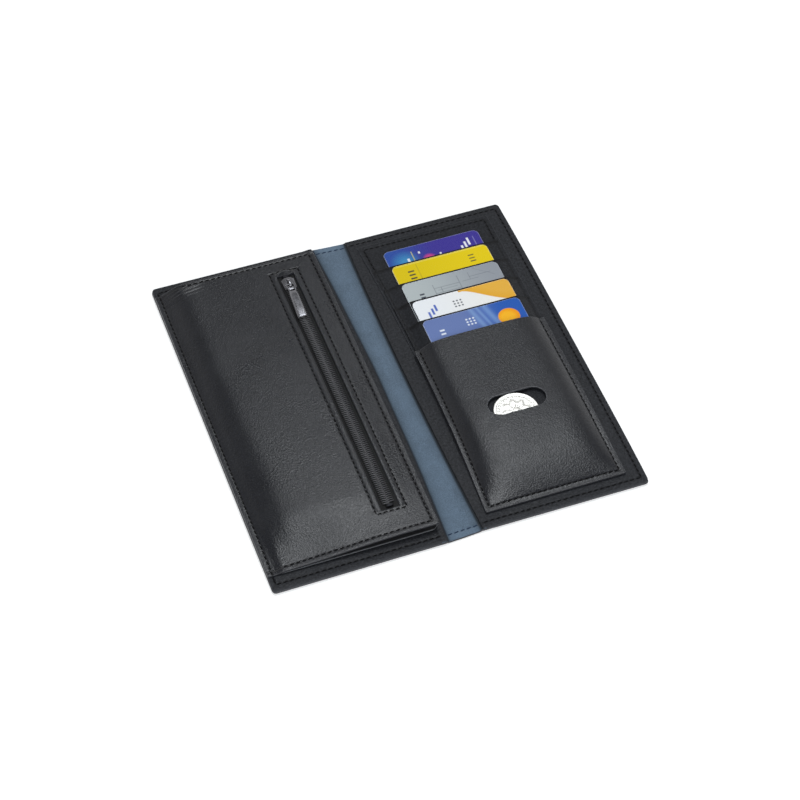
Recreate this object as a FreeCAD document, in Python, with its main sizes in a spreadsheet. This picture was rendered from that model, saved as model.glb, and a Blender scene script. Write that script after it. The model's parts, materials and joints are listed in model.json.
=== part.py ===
"""A travel wallet (passport holder) lying open, inside up, in millimetres.

X runs across the two covers, Y along the spine and Z up; the origin is the middle of the underside.
The card half is at +X, the zip pouch half at -X. Both covers fold about creases at the spine's edges.
"""

import math
import os

import FreeCAD
import Part
import Sketcher

DIMENSIONS = {
    # covers and spine
    "open_width": 196.0,
    "cover_length": 207.0,
    "spine_width": 17.2,
    "cover_corner": 3.0,
    "outer_leather": 0.9,
    "board_thickness": 0.8,
    "inner_leather": 0.8,
    "hem_width": 5.0,
    "crease_clear": 0.3,
    "panel_inset": 0.3,
    "seam_inset": 2.7,
    "thread_width": 0.5,
    "thread_height": 0.25,
    # card pocket, on the right cover
    "pocket_left": 15.0,
    "pocket_right": 88.0,
    "pocket_length": 191.2,
    "pocket_corner": 2.0,
    "pocket_seam_inset": 2.2,
    "backing_leather": 0.4,
    "card_width": 53.98,
    "card_length": 85.6,
    "card_thickness": 0.76,
    "card_corner": 3.18,
    "card_middle": 53.6,
    "top_card_end": 88.6,
    "slot_pitch": 14.7,
    "leaf_thickness": 0.2,
    "leaf_gap": 0.04,
    "leaf_beyond": 0.5,
    "coin_leaf_lap": 0.8,
    "card_side_gap": 0.4,
    "gusset_width": 1.2,
    "floor_gap": 0.4,
    "floor_width": 1.0,
    # front pocket panel and the coin behind it
    "panel_mouth": 13.8,
    "panel_leather": 0.6,
    "panel_flange_left": 3.8,
    "panel_flange_right": 3.0,
    "panel_flange_front": 4.2,
    "panel_slope_left": 5.8,
    "panel_slope_right": 2.2,
    "panel_slope_front": 12.4,
    "panel_wall": 1.0,
    "coin_diameter": 23.0,
    "coin_thickness": 1.5,
    "coin_x": 50.4,
    "coin_y": -44.1,
    "coin_gap": 0.05,
    "cutout_length": 30.6,
    "cutout_width": 12.6,
    "cutout_x": 52.7,
    "cutout_y": -38.9,
    # page with the zip pouch, on the left cover
    "page_left": -91.8,
    "page_right": -10.4,
    "page_length": 193.6,
    "page_corner": 3.0,
    "page_gap": 0.4,
    "page_flange": 3.6,
    "page_seam_inset": 3.0,
    "seam_strip_left": -97.7,
    "seam_strip_right": -92.2,
    "seam_strip_thickness": 0.8,
    "slip_leather": 0.5,
    "slip_gap": 1.2,
    "slip_fold": 0.6,
    "slip_fold_gap": 0.05,
    "lining_thickness": 0.4,
    "pouch_height": 4.3,
    "pouch_leather": 0.7,
    "pouch_wall": 1.0,
    "pouch_slope_left": 12.8,
    "pouch_slope_right": 6.9,
    "pouch_slope_front": 7.8,
    "pouch_slope_back": 4.3,
    # zip
    "zip_x": -29.7,
    "window_front": -80.5,
    "window_back": 85.0,
    "window_half_width": 4.65,
    "window_hem": 3.6,
    "window_hem_leather": 0.6,
    "window_seam": 3.2,
    "tape_thickness": 0.4,
    "coil_row": 1.6,
    "coil_height": 1.25,
    "coil_parting": 0.4,
    "stop_length": 1.6,
    "stop_height": 1.35,
    # zip slider and its pull
    "slider_y": 77.7,
    "slider_length": 9.2,
    "slider_nose": 7.0,
    "slider_tail": 5.2,
    "slider_plate": 0.7,
    "slider_gap": 0.15,
    "slider_neck": 0.5,
    "slider_neck_length": 2.3,
    "slider_lip": 0.9,
    "bridge_width": 1.8,
    "bridge_back": 2.6,
    "bridge_front": 3.1,
    "bridge_height": 2.1,
    "bridge_bar": 0.9,
    "pull_pivot": -1.4,
    "pull_pivot_rise": 0.6,
    "pull_pin_radius": 0.45,
    "pull_ring_half": 2.35,
    "pull_ring_leg": 1.0,
    "pull_ring_length": 5.7,
    "pull_ring_thickness": 0.9,
    "pull_tab_length": 17.5,
    "pull_tab_root": 4.3,
    "pull_tab_end": 5.2,
    "pull_tab_thickness": 1.4,
    "pull_tab_bevel": 0.4,
}

CARD_COUNT = 5

document = FreeCAD.newDocument("travel_wallet")
sheet = document.addObject("Spreadsheet::Sheet", "dims")
for row, (alias, size) in enumerate(DIMENSIONS.items(), start=1):
    sheet.set(f"A{row}", alias)
    sheet.set(f"B{row}", str(size))
    sheet.setAlias(f"B{row}", alias)
document.recompute()

nodes = []


# Places along Z, as expressions in the sheet's dimensions.
BOARD_FLOOR = "dims.outer_leather"
LINING_TOP = "dims.outer_leather + dims.board_thickness"
PANEL_TOP = f"{LINING_TOP} + dims.inner_leather"
BACKING_TOP = f"{PANEL_TOP} + dims.backing_leather"
PAGE_FLOOR = f"{PANEL_TOP} + dims.page_gap"
SLIP_TOP = f"{PAGE_FLOOR} + dims.slip_leather"
POUCH_FLOOR = f"{SLIP_TOP} + dims.slip_gap"
POUCH_INSIDE = f"{POUCH_FLOOR} + dims.lining_thickness"
POUCH_TOP = f"{POUCH_INSIDE} + dims.pouch_height"
WINDOW_FLOOR = f"{POUCH_TOP} - dims.pouch_leather - dims.window_hem_leather"
TAPE_FLOOR = f"{WINDOW_FLOOR} - dims.tape_thickness"
COIL_TOP = f"{WINDOW_FLOOR} + dims.coil_height"
SLIDER_FLOOR = f"{TAPE_FLOOR} - dims.slider_gap - dims.slider_plate"
SLIDER_ROOF = f"{COIL_TOP} + dims.slider_gap"
SLIDER_TOP = f"{SLIDER_ROOF} + dims.slider_plate"
PIVOT_HEIGHT = f"{SLIDER_TOP} + dims.pull_pivot_rise"

# Places along X and Y.
CREASE = "dims.spine_width / 2"
SIDE = "dims.open_width / 2"
END = "dims.cover_length / 2"
POCKET_END = "dims.pocket_length / 2"
PAGE_END = "dims.page_length / 2"
CARD_LEFT = "dims.card_middle - dims.card_width / 2"
CARD_RIGHT = "dims.card_middle + dims.card_width / 2"
LEAF_LEFT = f"{CARD_LEFT} - dims.card_side_gap"
LEAF_RIGHT = f"{CARD_RIGHT} + dims.card_side_gap"


def plus(place, *steps):
    """A place moved on by each step."""
    return " + ".join([place, *[f"({step})" for step in steps]])


def minus(place, step):
    return f"{place} - ({step})"


def either_side(half):
    """The span from -half to +half."""
    return f"-({half})", half


def mirrored(span):
    low, high = span
    return f"-({high})", f"-({low})"


def keep(feature, label):
    """Makes a feature one of the wallet's sub-parts, under the name of its file."""
    feature.Label = label
    nodes.append(feature)
    return feature


def place(feature, x, y, z):
    for axis, expression in zip("xyz", (x, y, z)):
        feature.setExpression(f"Placement.Base.{axis}", expression)


def box(name, x, y, z):
    """A box between the two ends of its span on each axis."""
    solid = document.addObject("Part::Box", name)
    for side, (low, high) in zip(("Length", "Width", "Height"), (x, y, z)):
        solid.setExpression(side, f"({high}) - ({low})")
    place(solid, x[0], y[0], z[0])
    return solid


def cylinder(name, radius, height, x, y, z):
    solid = document.addObject("Part::Cylinder", name)
    solid.setExpression("Radius", radius)
    solid.setExpression("Height", height)
    place(solid, x, y, z)
    return solid


def fuse(name, *shapes):
    joined = document.addObject("Part::MultiFuse", name)
    joined.Shapes = list(shapes)
    return joined


def group(name, *shapes):
    """Separate solids that make one sub-part."""
    together = document.addObject("Part::Compound", name)
    together.Links = list(shapes)
    return together


def cut(name, base, tool):
    rest = document.addObject("Part::Cut", name)
    rest.Base = base
    rest.Tool = tool
    return rest


def frustum(name, base_x, base_y, top_x, top_y, z):
    """A solid with a rectangle at each end of its height and flat sides between them."""
    wedge = document.addObject("Part::Wedge", name)
    rows = (("Ymin", "0"), ("Ymax", f"({z[1]}) - ({z[0]})"))
    across = (("Xmin", base_x[0]), ("Xmax", base_x[1]), ("X2min", top_x[0]), ("X2max", top_x[1]))
    along = (("Zmax", base_y[0]), ("Zmin", base_y[1]), ("Z2max", top_y[0]), ("Z2min", top_y[1]))
    for side, expression in rows + across:
        wedge.setExpression(side, expression)
    for side, expression in along:
        wedge.setExpression(side, f"-({expression})")
    upright = FreeCAD.Rotation(FreeCAD.Vector(1, 0, 0), 90)
    wedge.Placement = FreeCAD.Placement(FreeCAD.Vector(), upright)
    wedge.setExpression("Placement.Base.z", z[0])
    return wedge


def plane(body, role):
    return next(datum for datum in body.Origin.OriginFeatures if datum.Role == role)


def outline(body, name, corners, role="XY_Plane", offset=None):
    """A closed sketch whose every corner is set by two expressions."""
    sketch = body.newObject("Sketcher::SketchObject", name)
    sketch.AttachmentSupport = [(plane(body, role), "")]
    sketch.MapMode = "FlatFace"
    if offset:
        sketch.setExpression("AttachmentOffset.Base.z", offset)
    count = len(corners)
    turn = 2 * math.pi / count
    guess = [FreeCAD.Vector(math.cos(turn * i), math.sin(turn * i), 0) for i in range(count)]
    for i in range(count):
        sketch.addGeometry(Part.LineSegment(guess[i], guess[(i + 1) % count]), False)
    for i in range(count):
        sketch.addConstraint(Sketcher.Constraint("Coincident", i, 2, (i + 1) % count, 1))
    for i, corner in enumerate(corners):
        for kind, expression in zip(("DistanceX", "DistanceY"), corner):
            index = sketch.addConstraint(Sketcher.Constraint(kind, i, 1, 1.0))
            sketch.renameConstraint(index, f"{kind}_{i}")
            sketch.setExpression(f"Constraints.{kind}_{i}", expression)
    return sketch


def pad(body, name, sketch, length, reverse=False):
    feature = body.newObject("PartDesign::Pad", name)
    feature.Profile = sketch
    feature.Reversed = reverse
    feature.setExpression("Length", length)
    return feature


def rectangle(x, y):
    return [(x[0], y[0]), (x[1], y[0]), (x[1], y[1]), (x[0], y[1])]


def round_corners(body, name, base, radius, right=True, left=True):
    """Fillets the upright edges at the right or left side of a plate."""
    document.recompute()
    bounds = base.Shape.BoundBox
    chosen = []
    for number, edge in enumerate(base.Shape.Edges, start=1):
        first, last = (vertex.Point for vertex in edge.Vertexes)
        upright = abs(first.x - last.x) + abs(first.y - last.y) < 1e-6
        at_end = min(abs(first.y - bounds.YMin), abs(first.y - bounds.YMax)) < 1e-6
        at_right = right and abs(first.x - bounds.XMax) < 1e-6
        at_left = left and abs(first.x - bounds.XMin) < 1e-6
        if upright and at_end and (at_right or at_left):
            chosen.append(f"Edge{number}")
    fillet = body.newObject("PartDesign::Fillet", name)
    fillet.Base = (base, chosen)
    fillet.setExpression("Radius", radius)
    return fillet


def plate(label, x, y, z, corner=None, right=True, left=True):
    """A flat sheet of leather, board or plastic, with its upright edges rounded where asked."""
    body = document.addObject("PartDesign::Body", label)
    body.setExpression("Placement.Base.z", z[0])
    sketch = outline(body, f"{label}_outline", rectangle(x, y))
    sheet_pad = pad(body, f"{label}_pad", sketch, f"({z[1]}) - ({z[0]})")
    if corner:
        round_corners(body, f"{label}_corners", sheet_pad, corner, right, left)
    return keep(body, label)


def outer_cover(label, x, recess_x, right):
    """One cover's outer leather: its hem is turned over the board on the three outer edges."""
    body = document.addObject("PartDesign::Body", label)
    sketch = outline(body, f"{label}_outline", rectangle(x, either_side(END)))
    slab = pad(body, f"{label}_slab", sketch, LINING_TOP)
    rounded = round_corners(body, f"{label}_corners", slab, "dims.cover_corner", right, not right)
    document.recompute()
    whole = rounded.Shape.Volume
    recess_y = either_side(minus(END, "dims.hem_width"))
    recess = outline(body, f"{label}_recess", rectangle(recess_x, recess_y), offset=LINING_TOP)
    pocket = body.newObject("PartDesign::Pocket", f"{label}_board_recess")
    pocket.Profile = recess
    pocket.setExpression("Length", "dims.board_thickness")
    document.recompute()
    if pocket.Shape.Volume > 0.9 * whole:
        raise RuntimeError(f"{label}: the board's recess cuts nothing")
    return keep(body, label)


def covers():
    """Both covers and the spine, each a stack of outer leather, stiffener and inner sheet."""
    cover = (CREASE, SIDE)
    recess = ("0", minus(SIDE, "dims.hem_width"))
    board = (plus(CREASE, "dims.crease_clear"), minus(SIDE, "dims.hem_width"))
    panel = (plus(CREASE, "dims.crease_clear"), minus(SIDE, "dims.panel_inset"))
    board_y = either_side(minus(END, "dims.hem_width"))
    panel_y = either_side(minus(END, "dims.panel_inset"))
    for side, at_right in (("right", True), ("left", False)):
        spans = [cover, recess, board, panel]
        cover_x, recess_x, board_x, panel_x = spans if at_right else map(mirrored, spans)
        outer_cover(f"outer_cover_{side}", cover_x, recess_x, at_right)
        plate(f"stiffener_board_{side}", board_x, board_y, (BOARD_FLOOR, LINING_TOP))
        plate(f"inner_panel_{side}", panel_x, panel_y, (LINING_TOP, PANEL_TOP),
              "dims.cover_corner", at_right, not at_right)
    spine_x = either_side(CREASE)
    plate("outer_cover_spine", spine_x, either_side(END), ("0", BOARD_FLOOR))
    plate("spine_lining", spine_x, either_side(END), (BOARD_FLOOR, LINING_TOP))


def thread_run(name, x, y, z):
    """A straight run of stitching; a span of one place is the run's own line."""
    half = "dims.thread_width / 2"
    spans = [(minus(s, half), plus(s, half)) if isinstance(s, str) else s for s in (x, y)]
    return box(name, *spans, (z, plus(z, "dims.thread_height")))


def cover_stitching():
    """The perimeter seam: a U on each cover and a short run across each end of the spine."""
    line_x = minus(SIDE, "dims.seam_inset")
    line_y = minus(END, "dims.seam_inset")
    start = plus(CREASE, "dims.crease_clear", "dims.crease_clear")
    half = "dims.thread_width / 2"
    ends = (start, minus(line_x, half))
    strip_top = plus(PANEL_TOP, "dims.seam_strip_thickness")
    for side, at_right in (("right", True), ("left", False)):
        across = ends if at_right else mirrored(ends)
        along = line_x if at_right else f"-({line_x})"
        runs = [thread_run(f"{side}_end_{name}", across, y, PANEL_TOP)
                for name, y in (("back", line_y), ("front", f"-({line_y})"))]
        long_y = either_side(plus(line_y, half) if at_right else PAGE_END)
        long_z = PANEL_TOP if at_right else strip_top
        runs.append(thread_run(f"{side}_long", along, long_y, long_z))
        keep(group(f"{side}_runs", *runs), f"cover_seam_{side}")
    spine_x = either_side(minus(CREASE, "dims.crease_clear"))
    runs = [thread_run(f"spine_{name}", spine_x, y, LINING_TOP)
            for name, y in (("back", line_y), ("front", f"-({line_y})"))]
    keep(group("spine_runs", *runs), "spine_seam")


def card_floor(number):
    """Height of the underside of a card; card 1, lowest of the stack, slides out over the seam."""
    step = "(dims.card_thickness + dims.leaf_thickness + 2 * dims.leaf_gap)"
    return f"{BACKING_TOP} + dims.thread_height + dims.leaf_gap + {number - 1} * {step}"


def leaf_floor(number):
    return plus(card_floor(number), "dims.card_thickness", "dims.leaf_gap")


def leaf_top(number):
    return plus(leaf_floor(number), "dims.leaf_thickness")


def card_end(number):
    """The showing end of a card."""
    return f"dims.top_card_end - {number - 1} * dims.slot_pitch"


def card_foot(number):
    return minus(card_end(number), "dims.card_length")


def slot_mouth(number):
    """The free edge of the leaf over a card: just past the next card, or short of the panel's mouth."""
    if number < CARD_COUNT:
        return plus(card_end(number + 1), "dims.leaf_beyond")
    return minus("dims.panel_mouth", "dims.coin_leaf_lap")


def slot_end(number):
    return minus(card_foot(number), "dims.floor_gap + dims.floor_width")


def card_slots():
    """Backing, one leaf over each card, side gussets and the sewn floor at each card's foot."""
    plate("card_pocket_backing", ("dims.pocket_left", "dims.pocket_right"),
          either_side(POCKET_END), (PANEL_TOP, BACKING_TOP), "dims.pocket_corner")
    for number in range(1, CARD_COUNT + 1):
        label = f"card_slot_leaf_{number}" if number < CARD_COUNT else "coin_pocket_leaf"
        plate(label, (LEAF_LEFT, LEAF_RIGHT), (slot_end(number), slot_mouth(number)),
              (leaf_floor(number), leaf_top(number)))
        bar_y = (slot_end(number), minus(card_foot(number), "dims.floor_gap"))
        bar_z = (BACKING_TOP, leaf_floor(number))
        plate(f"slot_floor_seam_{number}", (LEAF_LEFT, LEAF_RIGHT), bar_y, bar_z)
    gusset("slot_gusset_left", minus(LEAF_LEFT, "dims.gusset_width"))
    gusset("slot_gusset_right", LEAF_RIGHT)


def gusset(label, left):
    """The stacked side margins of the leaves, which step up at each leaf's mouth."""
    body = document.addObject("PartDesign::Body", label)
    steps = [(slot_end(CARD_COUNT), BACKING_TOP), (slot_mouth(1), BACKING_TOP)]
    for number in range(1, CARD_COUNT + 1):
        following = slot_mouth(number + 1) if number < CARD_COUNT else slot_end(CARD_COUNT)
        steps += [(slot_mouth(number), leaf_top(number)), (following, leaf_top(number))]
    sketch = outline(body, f"{label}_outline", steps, "YZ_Plane", left)
    pad(body, f"{label}_pad", sketch, "dims.gusset_width")
    keep(body, label)


def cards():
    for number in range(1, CARD_COUNT + 1):
        floor = card_floor(number)
        plate(f"card_{number}", (CARD_LEFT, CARD_RIGHT), (card_foot(number), card_end(number)),
              (floor, plus(floor, "dims.card_thickness")), "dims.card_corner")


def coin_floor():
    return plus(leaf_top(CARD_COUNT), "dims.coin_gap")


def coin():
    disc = cylinder("coin_disc", "dims.coin_diameter / 2", "dims.coin_thickness",
                    "dims.coin_x", "dims.coin_y", coin_floor())
    keep(disc, "coin")


def stadium(name, x, y, length, width, z):
    """A slot with round ends, long way along X."""
    radius = f"{width} / 2"
    reach = f"{length} / 2 - {radius}"
    height = f"({z[1]}) - ({z[0]})"
    middle = box(f"{name}_middle", (minus(x, reach), plus(x, reach)),
                 (minus(y, radius), plus(y, radius)), z)
    rounds = [cylinder(f"{name}_{end}", radius, height, place_x, y, z[0])
              for end, place_x in (("left", minus(x, reach)), ("right", plus(x, reach)))]
    return fuse(name, middle, *rounds)


def front_pocket_panel():
    """The raised front panel over the card feet and the coin, open at its mouth."""
    underside = plus(coin_floor(), "dims.coin_thickness", "dims.coin_gap")
    top = plus(underside, "dims.panel_leather")
    edge_x = ("dims.pocket_left", "dims.pocket_right")
    front = f"-({POCKET_END})"
    flange = box("panel_flange", edge_x, (front, "dims.panel_mouth"),
                 (BACKING_TOP, plus(BACKING_TOP, "dims.panel_leather")))
    base_x = (plus(edge_x[0], "dims.panel_flange_left"), minus(edge_x[1], "dims.panel_flange_right"))
    base_front = plus(front, "dims.panel_flange_front")
    top_x = (plus(base_x[0], "dims.panel_slope_left"), minus(base_x[1], "dims.panel_slope_right"))
    top_front = plus(base_front, "dims.panel_slope_front")
    outside = frustum("panel_outside", base_x, (base_front, "dims.panel_mouth"),
                      top_x, (top_front, "dims.panel_mouth"), (BACKING_TOP, top))
    wall = "dims.panel_wall"
    beyond = plus("dims.panel_mouth", wall)
    inside = frustum("panel_inside",
                     (plus(base_x[0], wall), minus(base_x[1], wall)), (plus(base_front, wall), beyond),
                     (plus(top_x[0], wall), minus(top_x[1], f"{wall} / 2")),
                     (plus(top_front, wall), beyond), (BACKING_TOP, underside))
    cutout = stadium("coin_cutout", "dims.cutout_x", "dims.cutout_y", "dims.cutout_length",
                     "dims.cutout_width", (minus(underside, wall), plus(top, wall)))
    shell = cut("panel_shell", fuse("panel_solid", flange, outside), fuse("panel_hollow", inside, cutout))
    keep(shell, "front_pocket_panel")


def pocket_stitching():
    """The seam round the card pocket: over the front panel's flange and round the backing."""
    inset = "dims.pocket_seam_inset"
    half = "dims.thread_width / 2"
    left = plus("dims.pocket_left", inset)
    right = minus("dims.pocket_right", inset)
    end = minus(POCKET_END, inset)
    flange_top = plus(BACKING_TOP, "dims.panel_leather")
    across = (plus(left, half), minus(right, half))
    runs = [thread_run("pocket_end_back", across, end, BACKING_TOP),
            thread_run("pocket_end_front", across, f"-({end})", flange_top)]
    spans = (("back", ("dims.panel_mouth", plus(end, half)), BACKING_TOP),
             ("front", (f"-({plus(end, half)})", "dims.panel_mouth"), flange_top))
    for side, x in (("left", left), ("right", right)):
        runs += [thread_run(f"pocket_{side}_{name}", x, y, z) for name, y, z in spans]
    keep(group("pocket_runs", *runs), "card_pocket_seam")


def page_back():
    """What lies under the pouch: the sewn strip, the slip pocket's sheet and the pouch's back."""
    plate("page_seam_strip", ("dims.seam_strip_left", "dims.seam_strip_right"),
          either_side(PAGE_END), (PANEL_TOP, plus(PANEL_TOP, "dims.seam_strip_thickness")))
    slip_pocket_sheet()
    plate("pouch_back", ("dims.page_left", "dims.page_right"), either_side(PAGE_END),
          (POUCH_FLOOR, POUCH_INSIDE), "dims.page_corner", left=False)


def slip_pocket_sheet():
    """A thin sheet behind the pouch, folded up round the pouch's right edge and open at both ends."""
    label = "slip_pocket_sheet"
    body = document.addObject("PartDesign::Body", label)
    fold_in = plus("dims.page_right", "dims.slip_fold_gap")
    fold_out = plus(fold_in, "dims.slip_fold")
    spacer = plus("dims.page_left", "dims.pouch_wall")
    fold_top = plus(POUCH_INSIDE, "dims.pouch_leather")
    section = [("dims.page_left", PAGE_FLOOR), (fold_out, PAGE_FLOOR), (fold_out, fold_top),
               (fold_in, fold_top), (fold_in, SLIP_TOP), (spacer, SLIP_TOP),
               (spacer, POUCH_FLOOR), ("dims.page_left", POUCH_FLOOR)]
    sketch = outline(body, f"{label}_section", section, "XZ_Plane", f"-({PAGE_END})")
    pad(body, f"{label}_pad", sketch, "dims.page_length")
    keep(body, label)


def zip_span(inner, outer, at_right):
    """A span beside the zip's middle line, from inner to outer, on one side of it."""
    if at_right:
        return plus("dims.zip_x", inner), plus("dims.zip_x", outer)
    return minus("dims.zip_x", outer), minus("dims.zip_x", inner)


def pouch_front():
    """The pouch's leather front: a low dome with a flange all round and the zip's window in it."""
    inset = "dims.page_flange"
    flange_body = document.addObject("PartDesign::Body", "pouch_flange")
    flange_body.setExpression("Placement.Base.z", POUCH_INSIDE)
    page_x = ("dims.page_left", "dims.page_right")
    sketch = outline(flange_body, "pouch_flange_outline", rectangle(page_x, either_side(PAGE_END)))
    flange = pad(flange_body, "pouch_flange_pad", sketch, "dims.pouch_leather")
    round_corners(flange_body, "pouch_flange_corners", flange, "dims.page_corner", left=False)
    end = minus(PAGE_END, inset)
    base_x = (plus("dims.page_left", inset), minus("dims.page_right", inset))
    base_y = either_side(end)
    top_x = (plus(base_x[0], "dims.pouch_slope_left"), minus(base_x[1], "dims.pouch_slope_right"))
    top_y = (plus(base_y[0], "dims.pouch_slope_front"), minus(base_y[1], "dims.pouch_slope_back"))
    dome = frustum("pouch_outside", base_x, base_y, top_x, top_y, (POUCH_INSIDE, POUCH_TOP))
    hollow_spans = [(plus(low, "dims.pouch_wall"), minus(high, "dims.pouch_wall"))
                    for low, high in (base_x, base_y, top_x, top_y)]
    ceiling = minus(POUCH_TOP, "dims.pouch_leather")
    hollow = frustum("pouch_inside", *hollow_spans, (POUCH_INSIDE, ceiling))
    shell = cut("pouch_shell", fuse("pouch_solid", flange_body, dome), hollow)
    window_y = ("dims.window_front", "dims.window_back")
    hem_y = (minus(window_y[0], "dims.window_hem"), plus(window_y[1], "dims.window_hem"))
    hem_reach = "dims.window_half_width + dims.window_hem"
    hem = box("window_hem", (minus("dims.zip_x", hem_reach), plus("dims.zip_x", hem_reach)),
              hem_y, (WINDOW_FLOOR, ceiling))
    window_x = (minus("dims.zip_x", "dims.window_half_width"),
                plus("dims.zip_x", "dims.window_half_width"))
    window = box("zip_window", window_x, window_y, (TAPE_FLOOR, plus(POUCH_TOP, "dims.pouch_wall")))
    keep(cut("pouch_front_leather", fuse("pouch_hemmed", shell, hem), window), "pouch_front")


def page_stitching():
    """The seam round the page's three free edges and the seam round the zip's window."""
    half = "dims.thread_width / 2"
    inset = "dims.page_seam_inset"
    right = minus("dims.page_right", inset)
    end = minus(PAGE_END, inset)
    height = plus(POUCH_INSIDE, "dims.pouch_leather")
    across = ("dims.page_left", minus(right, half))
    runs = [thread_run("page_end_back", across, end, height),
            thread_run("page_end_front", across, f"-({end})", height),
            thread_run("page_long", right, either_side(plus(end, half)), height)]
    keep(group("page_runs", *runs), "pouch_seam")
    reach = plus("dims.window_half_width", "dims.window_seam")
    front = minus("dims.window_front", "dims.window_seam / 2")
    back = plus("dims.window_back", "dims.window_seam")
    left_x, right_x = minus("dims.zip_x", reach), plus("dims.zip_x", reach)
    across = (plus(left_x, half), minus(right_x, half))
    along = (minus(front, half), plus(back, half))
    runs = [thread_run("window_front_run", across, front, POUCH_TOP),
            thread_run("window_back_run", across, back, POUCH_TOP),
            thread_run("window_left_run", left_x, along, POUCH_TOP),
            thread_run("window_right_run", right_x, along, POUCH_TOP)]
    keep(group("window_runs", *runs), "zip_window_seam")


def zip_fastener():
    """Two tapes under the window's hem, a coil row on each and a stop at each end."""
    hem_y = (minus("dims.window_front", "dims.window_hem / 2"),
             plus("dims.window_back", "dims.window_hem / 2"))
    row_y = (plus("dims.window_front", "dims.stop_length + dims.window_hem / 6"),
             minus("dims.window_back", "dims.stop_length"))
    tape_reach = "dims.window_half_width + dims.window_hem"
    row_reach = "dims.coil_parting + dims.coil_row"
    for side, at_right in (("left", False), ("right", True)):
        tape_x = zip_span("dims.coil_parting", tape_reach, at_right)
        keep(box(f"tape_{side}", tape_x, hem_y, (TAPE_FLOOR, WINDOW_FLOOR)), f"zip_tape_{side}")
        row_x = zip_span("dims.coil_parting", row_reach, at_right)
        keep(box(f"coil_{side}", row_x, row_y, (WINDOW_FLOOR, COIL_TOP)), f"zip_coil_{side}")
    stop_x = (minus("dims.zip_x", row_reach), plus("dims.zip_x", row_reach))
    stop_z = (WINDOW_FLOOR, plus(WINDOW_FLOOR, "dims.stop_height"))
    bottom_y = (minus(row_y[0], "dims.stop_length"), row_y[0])
    top_y = (row_y[1], plus(row_y[1], "dims.stop_length"))
    keep(box("bottom_stop", stop_x, bottom_y, stop_z), "zip_bottom_stop")
    keep(box("top_stop", stop_x, top_y, stop_z), "zip_top_stop")


def slider_outline():
    """The slider's plan: wide at the nose, where the rows part, and narrow at the tail."""
    nose_y = plus("dims.slider_y", "dims.slider_length / 2")
    tail_y = minus("dims.slider_y", "dims.slider_length / 2")
    waist_y = minus(nose_y, "dims.slider_length / 2.5")
    chamfer = "dims.slider_length / 8"
    half_nose, half_tail = "dims.slider_nose / 2", "dims.slider_tail / 2"
    right = [(f"{half_tail} - {chamfer}", tail_y), (half_tail, plus(tail_y, chamfer)),
             (half_nose, waist_y), (half_nose, minus(nose_y, chamfer)),
             (f"{half_nose} - {chamfer}", nose_y)]
    left = [(f"-({x})", y) for x, y in reversed(right)]
    return [(plus("dims.zip_x", x), y) for x, y in right + left]


def zip_slider():
    """Two plates joined by a neck at the nose, with lips that hold the coil, and the bridge."""
    body = document.addObject("PartDesign::Body", "zip_slider_body")
    base = outline(body, "slider_base_outline", slider_outline(), offset=SLIDER_FLOOR)
    pad(body, "slider_base", base, "dims.slider_plate")
    nose_y = plus("dims.slider_y", "dims.slider_length / 2")
    neck_y = (minus(nose_y, "dims.slider_neck_length"), nose_y)
    neck_x = zip_span("-dims.slider_neck / 2", "dims.slider_neck / 2", True)
    neck = outline(body, "slider_neck_outline", rectangle(neck_x, neck_y),
                   offset=plus(SLIDER_FLOOR, "dims.slider_plate"))
    pad(body, "slider_neck", neck, f"{SLIDER_ROOF} - ({SLIDER_FLOOR}) - dims.slider_plate")
    roof = outline(body, "slider_roof_outline", slider_outline(), offset=SLIDER_ROOF)
    pad(body, "slider_roof", roof, "dims.slider_plate")
    lip_y = (minus(nose_y, "dims.slider_length / 2.5"), minus(nose_y, "dims.slider_length / 8"))
    for side, at_right in (("left", False), ("right", True)):
        inner = "dims.slider_nose / 2 - dims.slider_lip"
        lip_x = zip_span(inner, "dims.slider_nose / 2", at_right)
        lip = outline(body, f"slider_lip_{side}_outline", rectangle(lip_x, lip_y), offset=SLIDER_ROOF)
        pad(body, f"slider_lip_{side}", lip, "dims.coil_height", reverse=True)
    keep(body, "zip_slider_body")
    bridge_x = zip_span("-dims.bridge_width / 2", "dims.bridge_width / 2", True)
    outer_y = (minus("dims.slider_y", "dims.bridge_front"), plus("dims.slider_y", "dims.bridge_back"))
    inner_y = (plus(outer_y[0], "dims.bridge_bar"), minus(outer_y[1], "dims.bridge_bar"))
    arch = box("bridge_arch", bridge_x, outer_y, (SLIDER_TOP, plus(SLIDER_TOP, "dims.bridge_height")))
    gap_top = plus(SLIDER_TOP, "dims.bridge_height - dims.bridge_bar")
    gap = box("bridge_gap", bridge_x, inner_y, (SLIDER_TOP, gap_top))
    keep(cut("bridge", arch, gap), "zip_slider_bridge")


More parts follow.
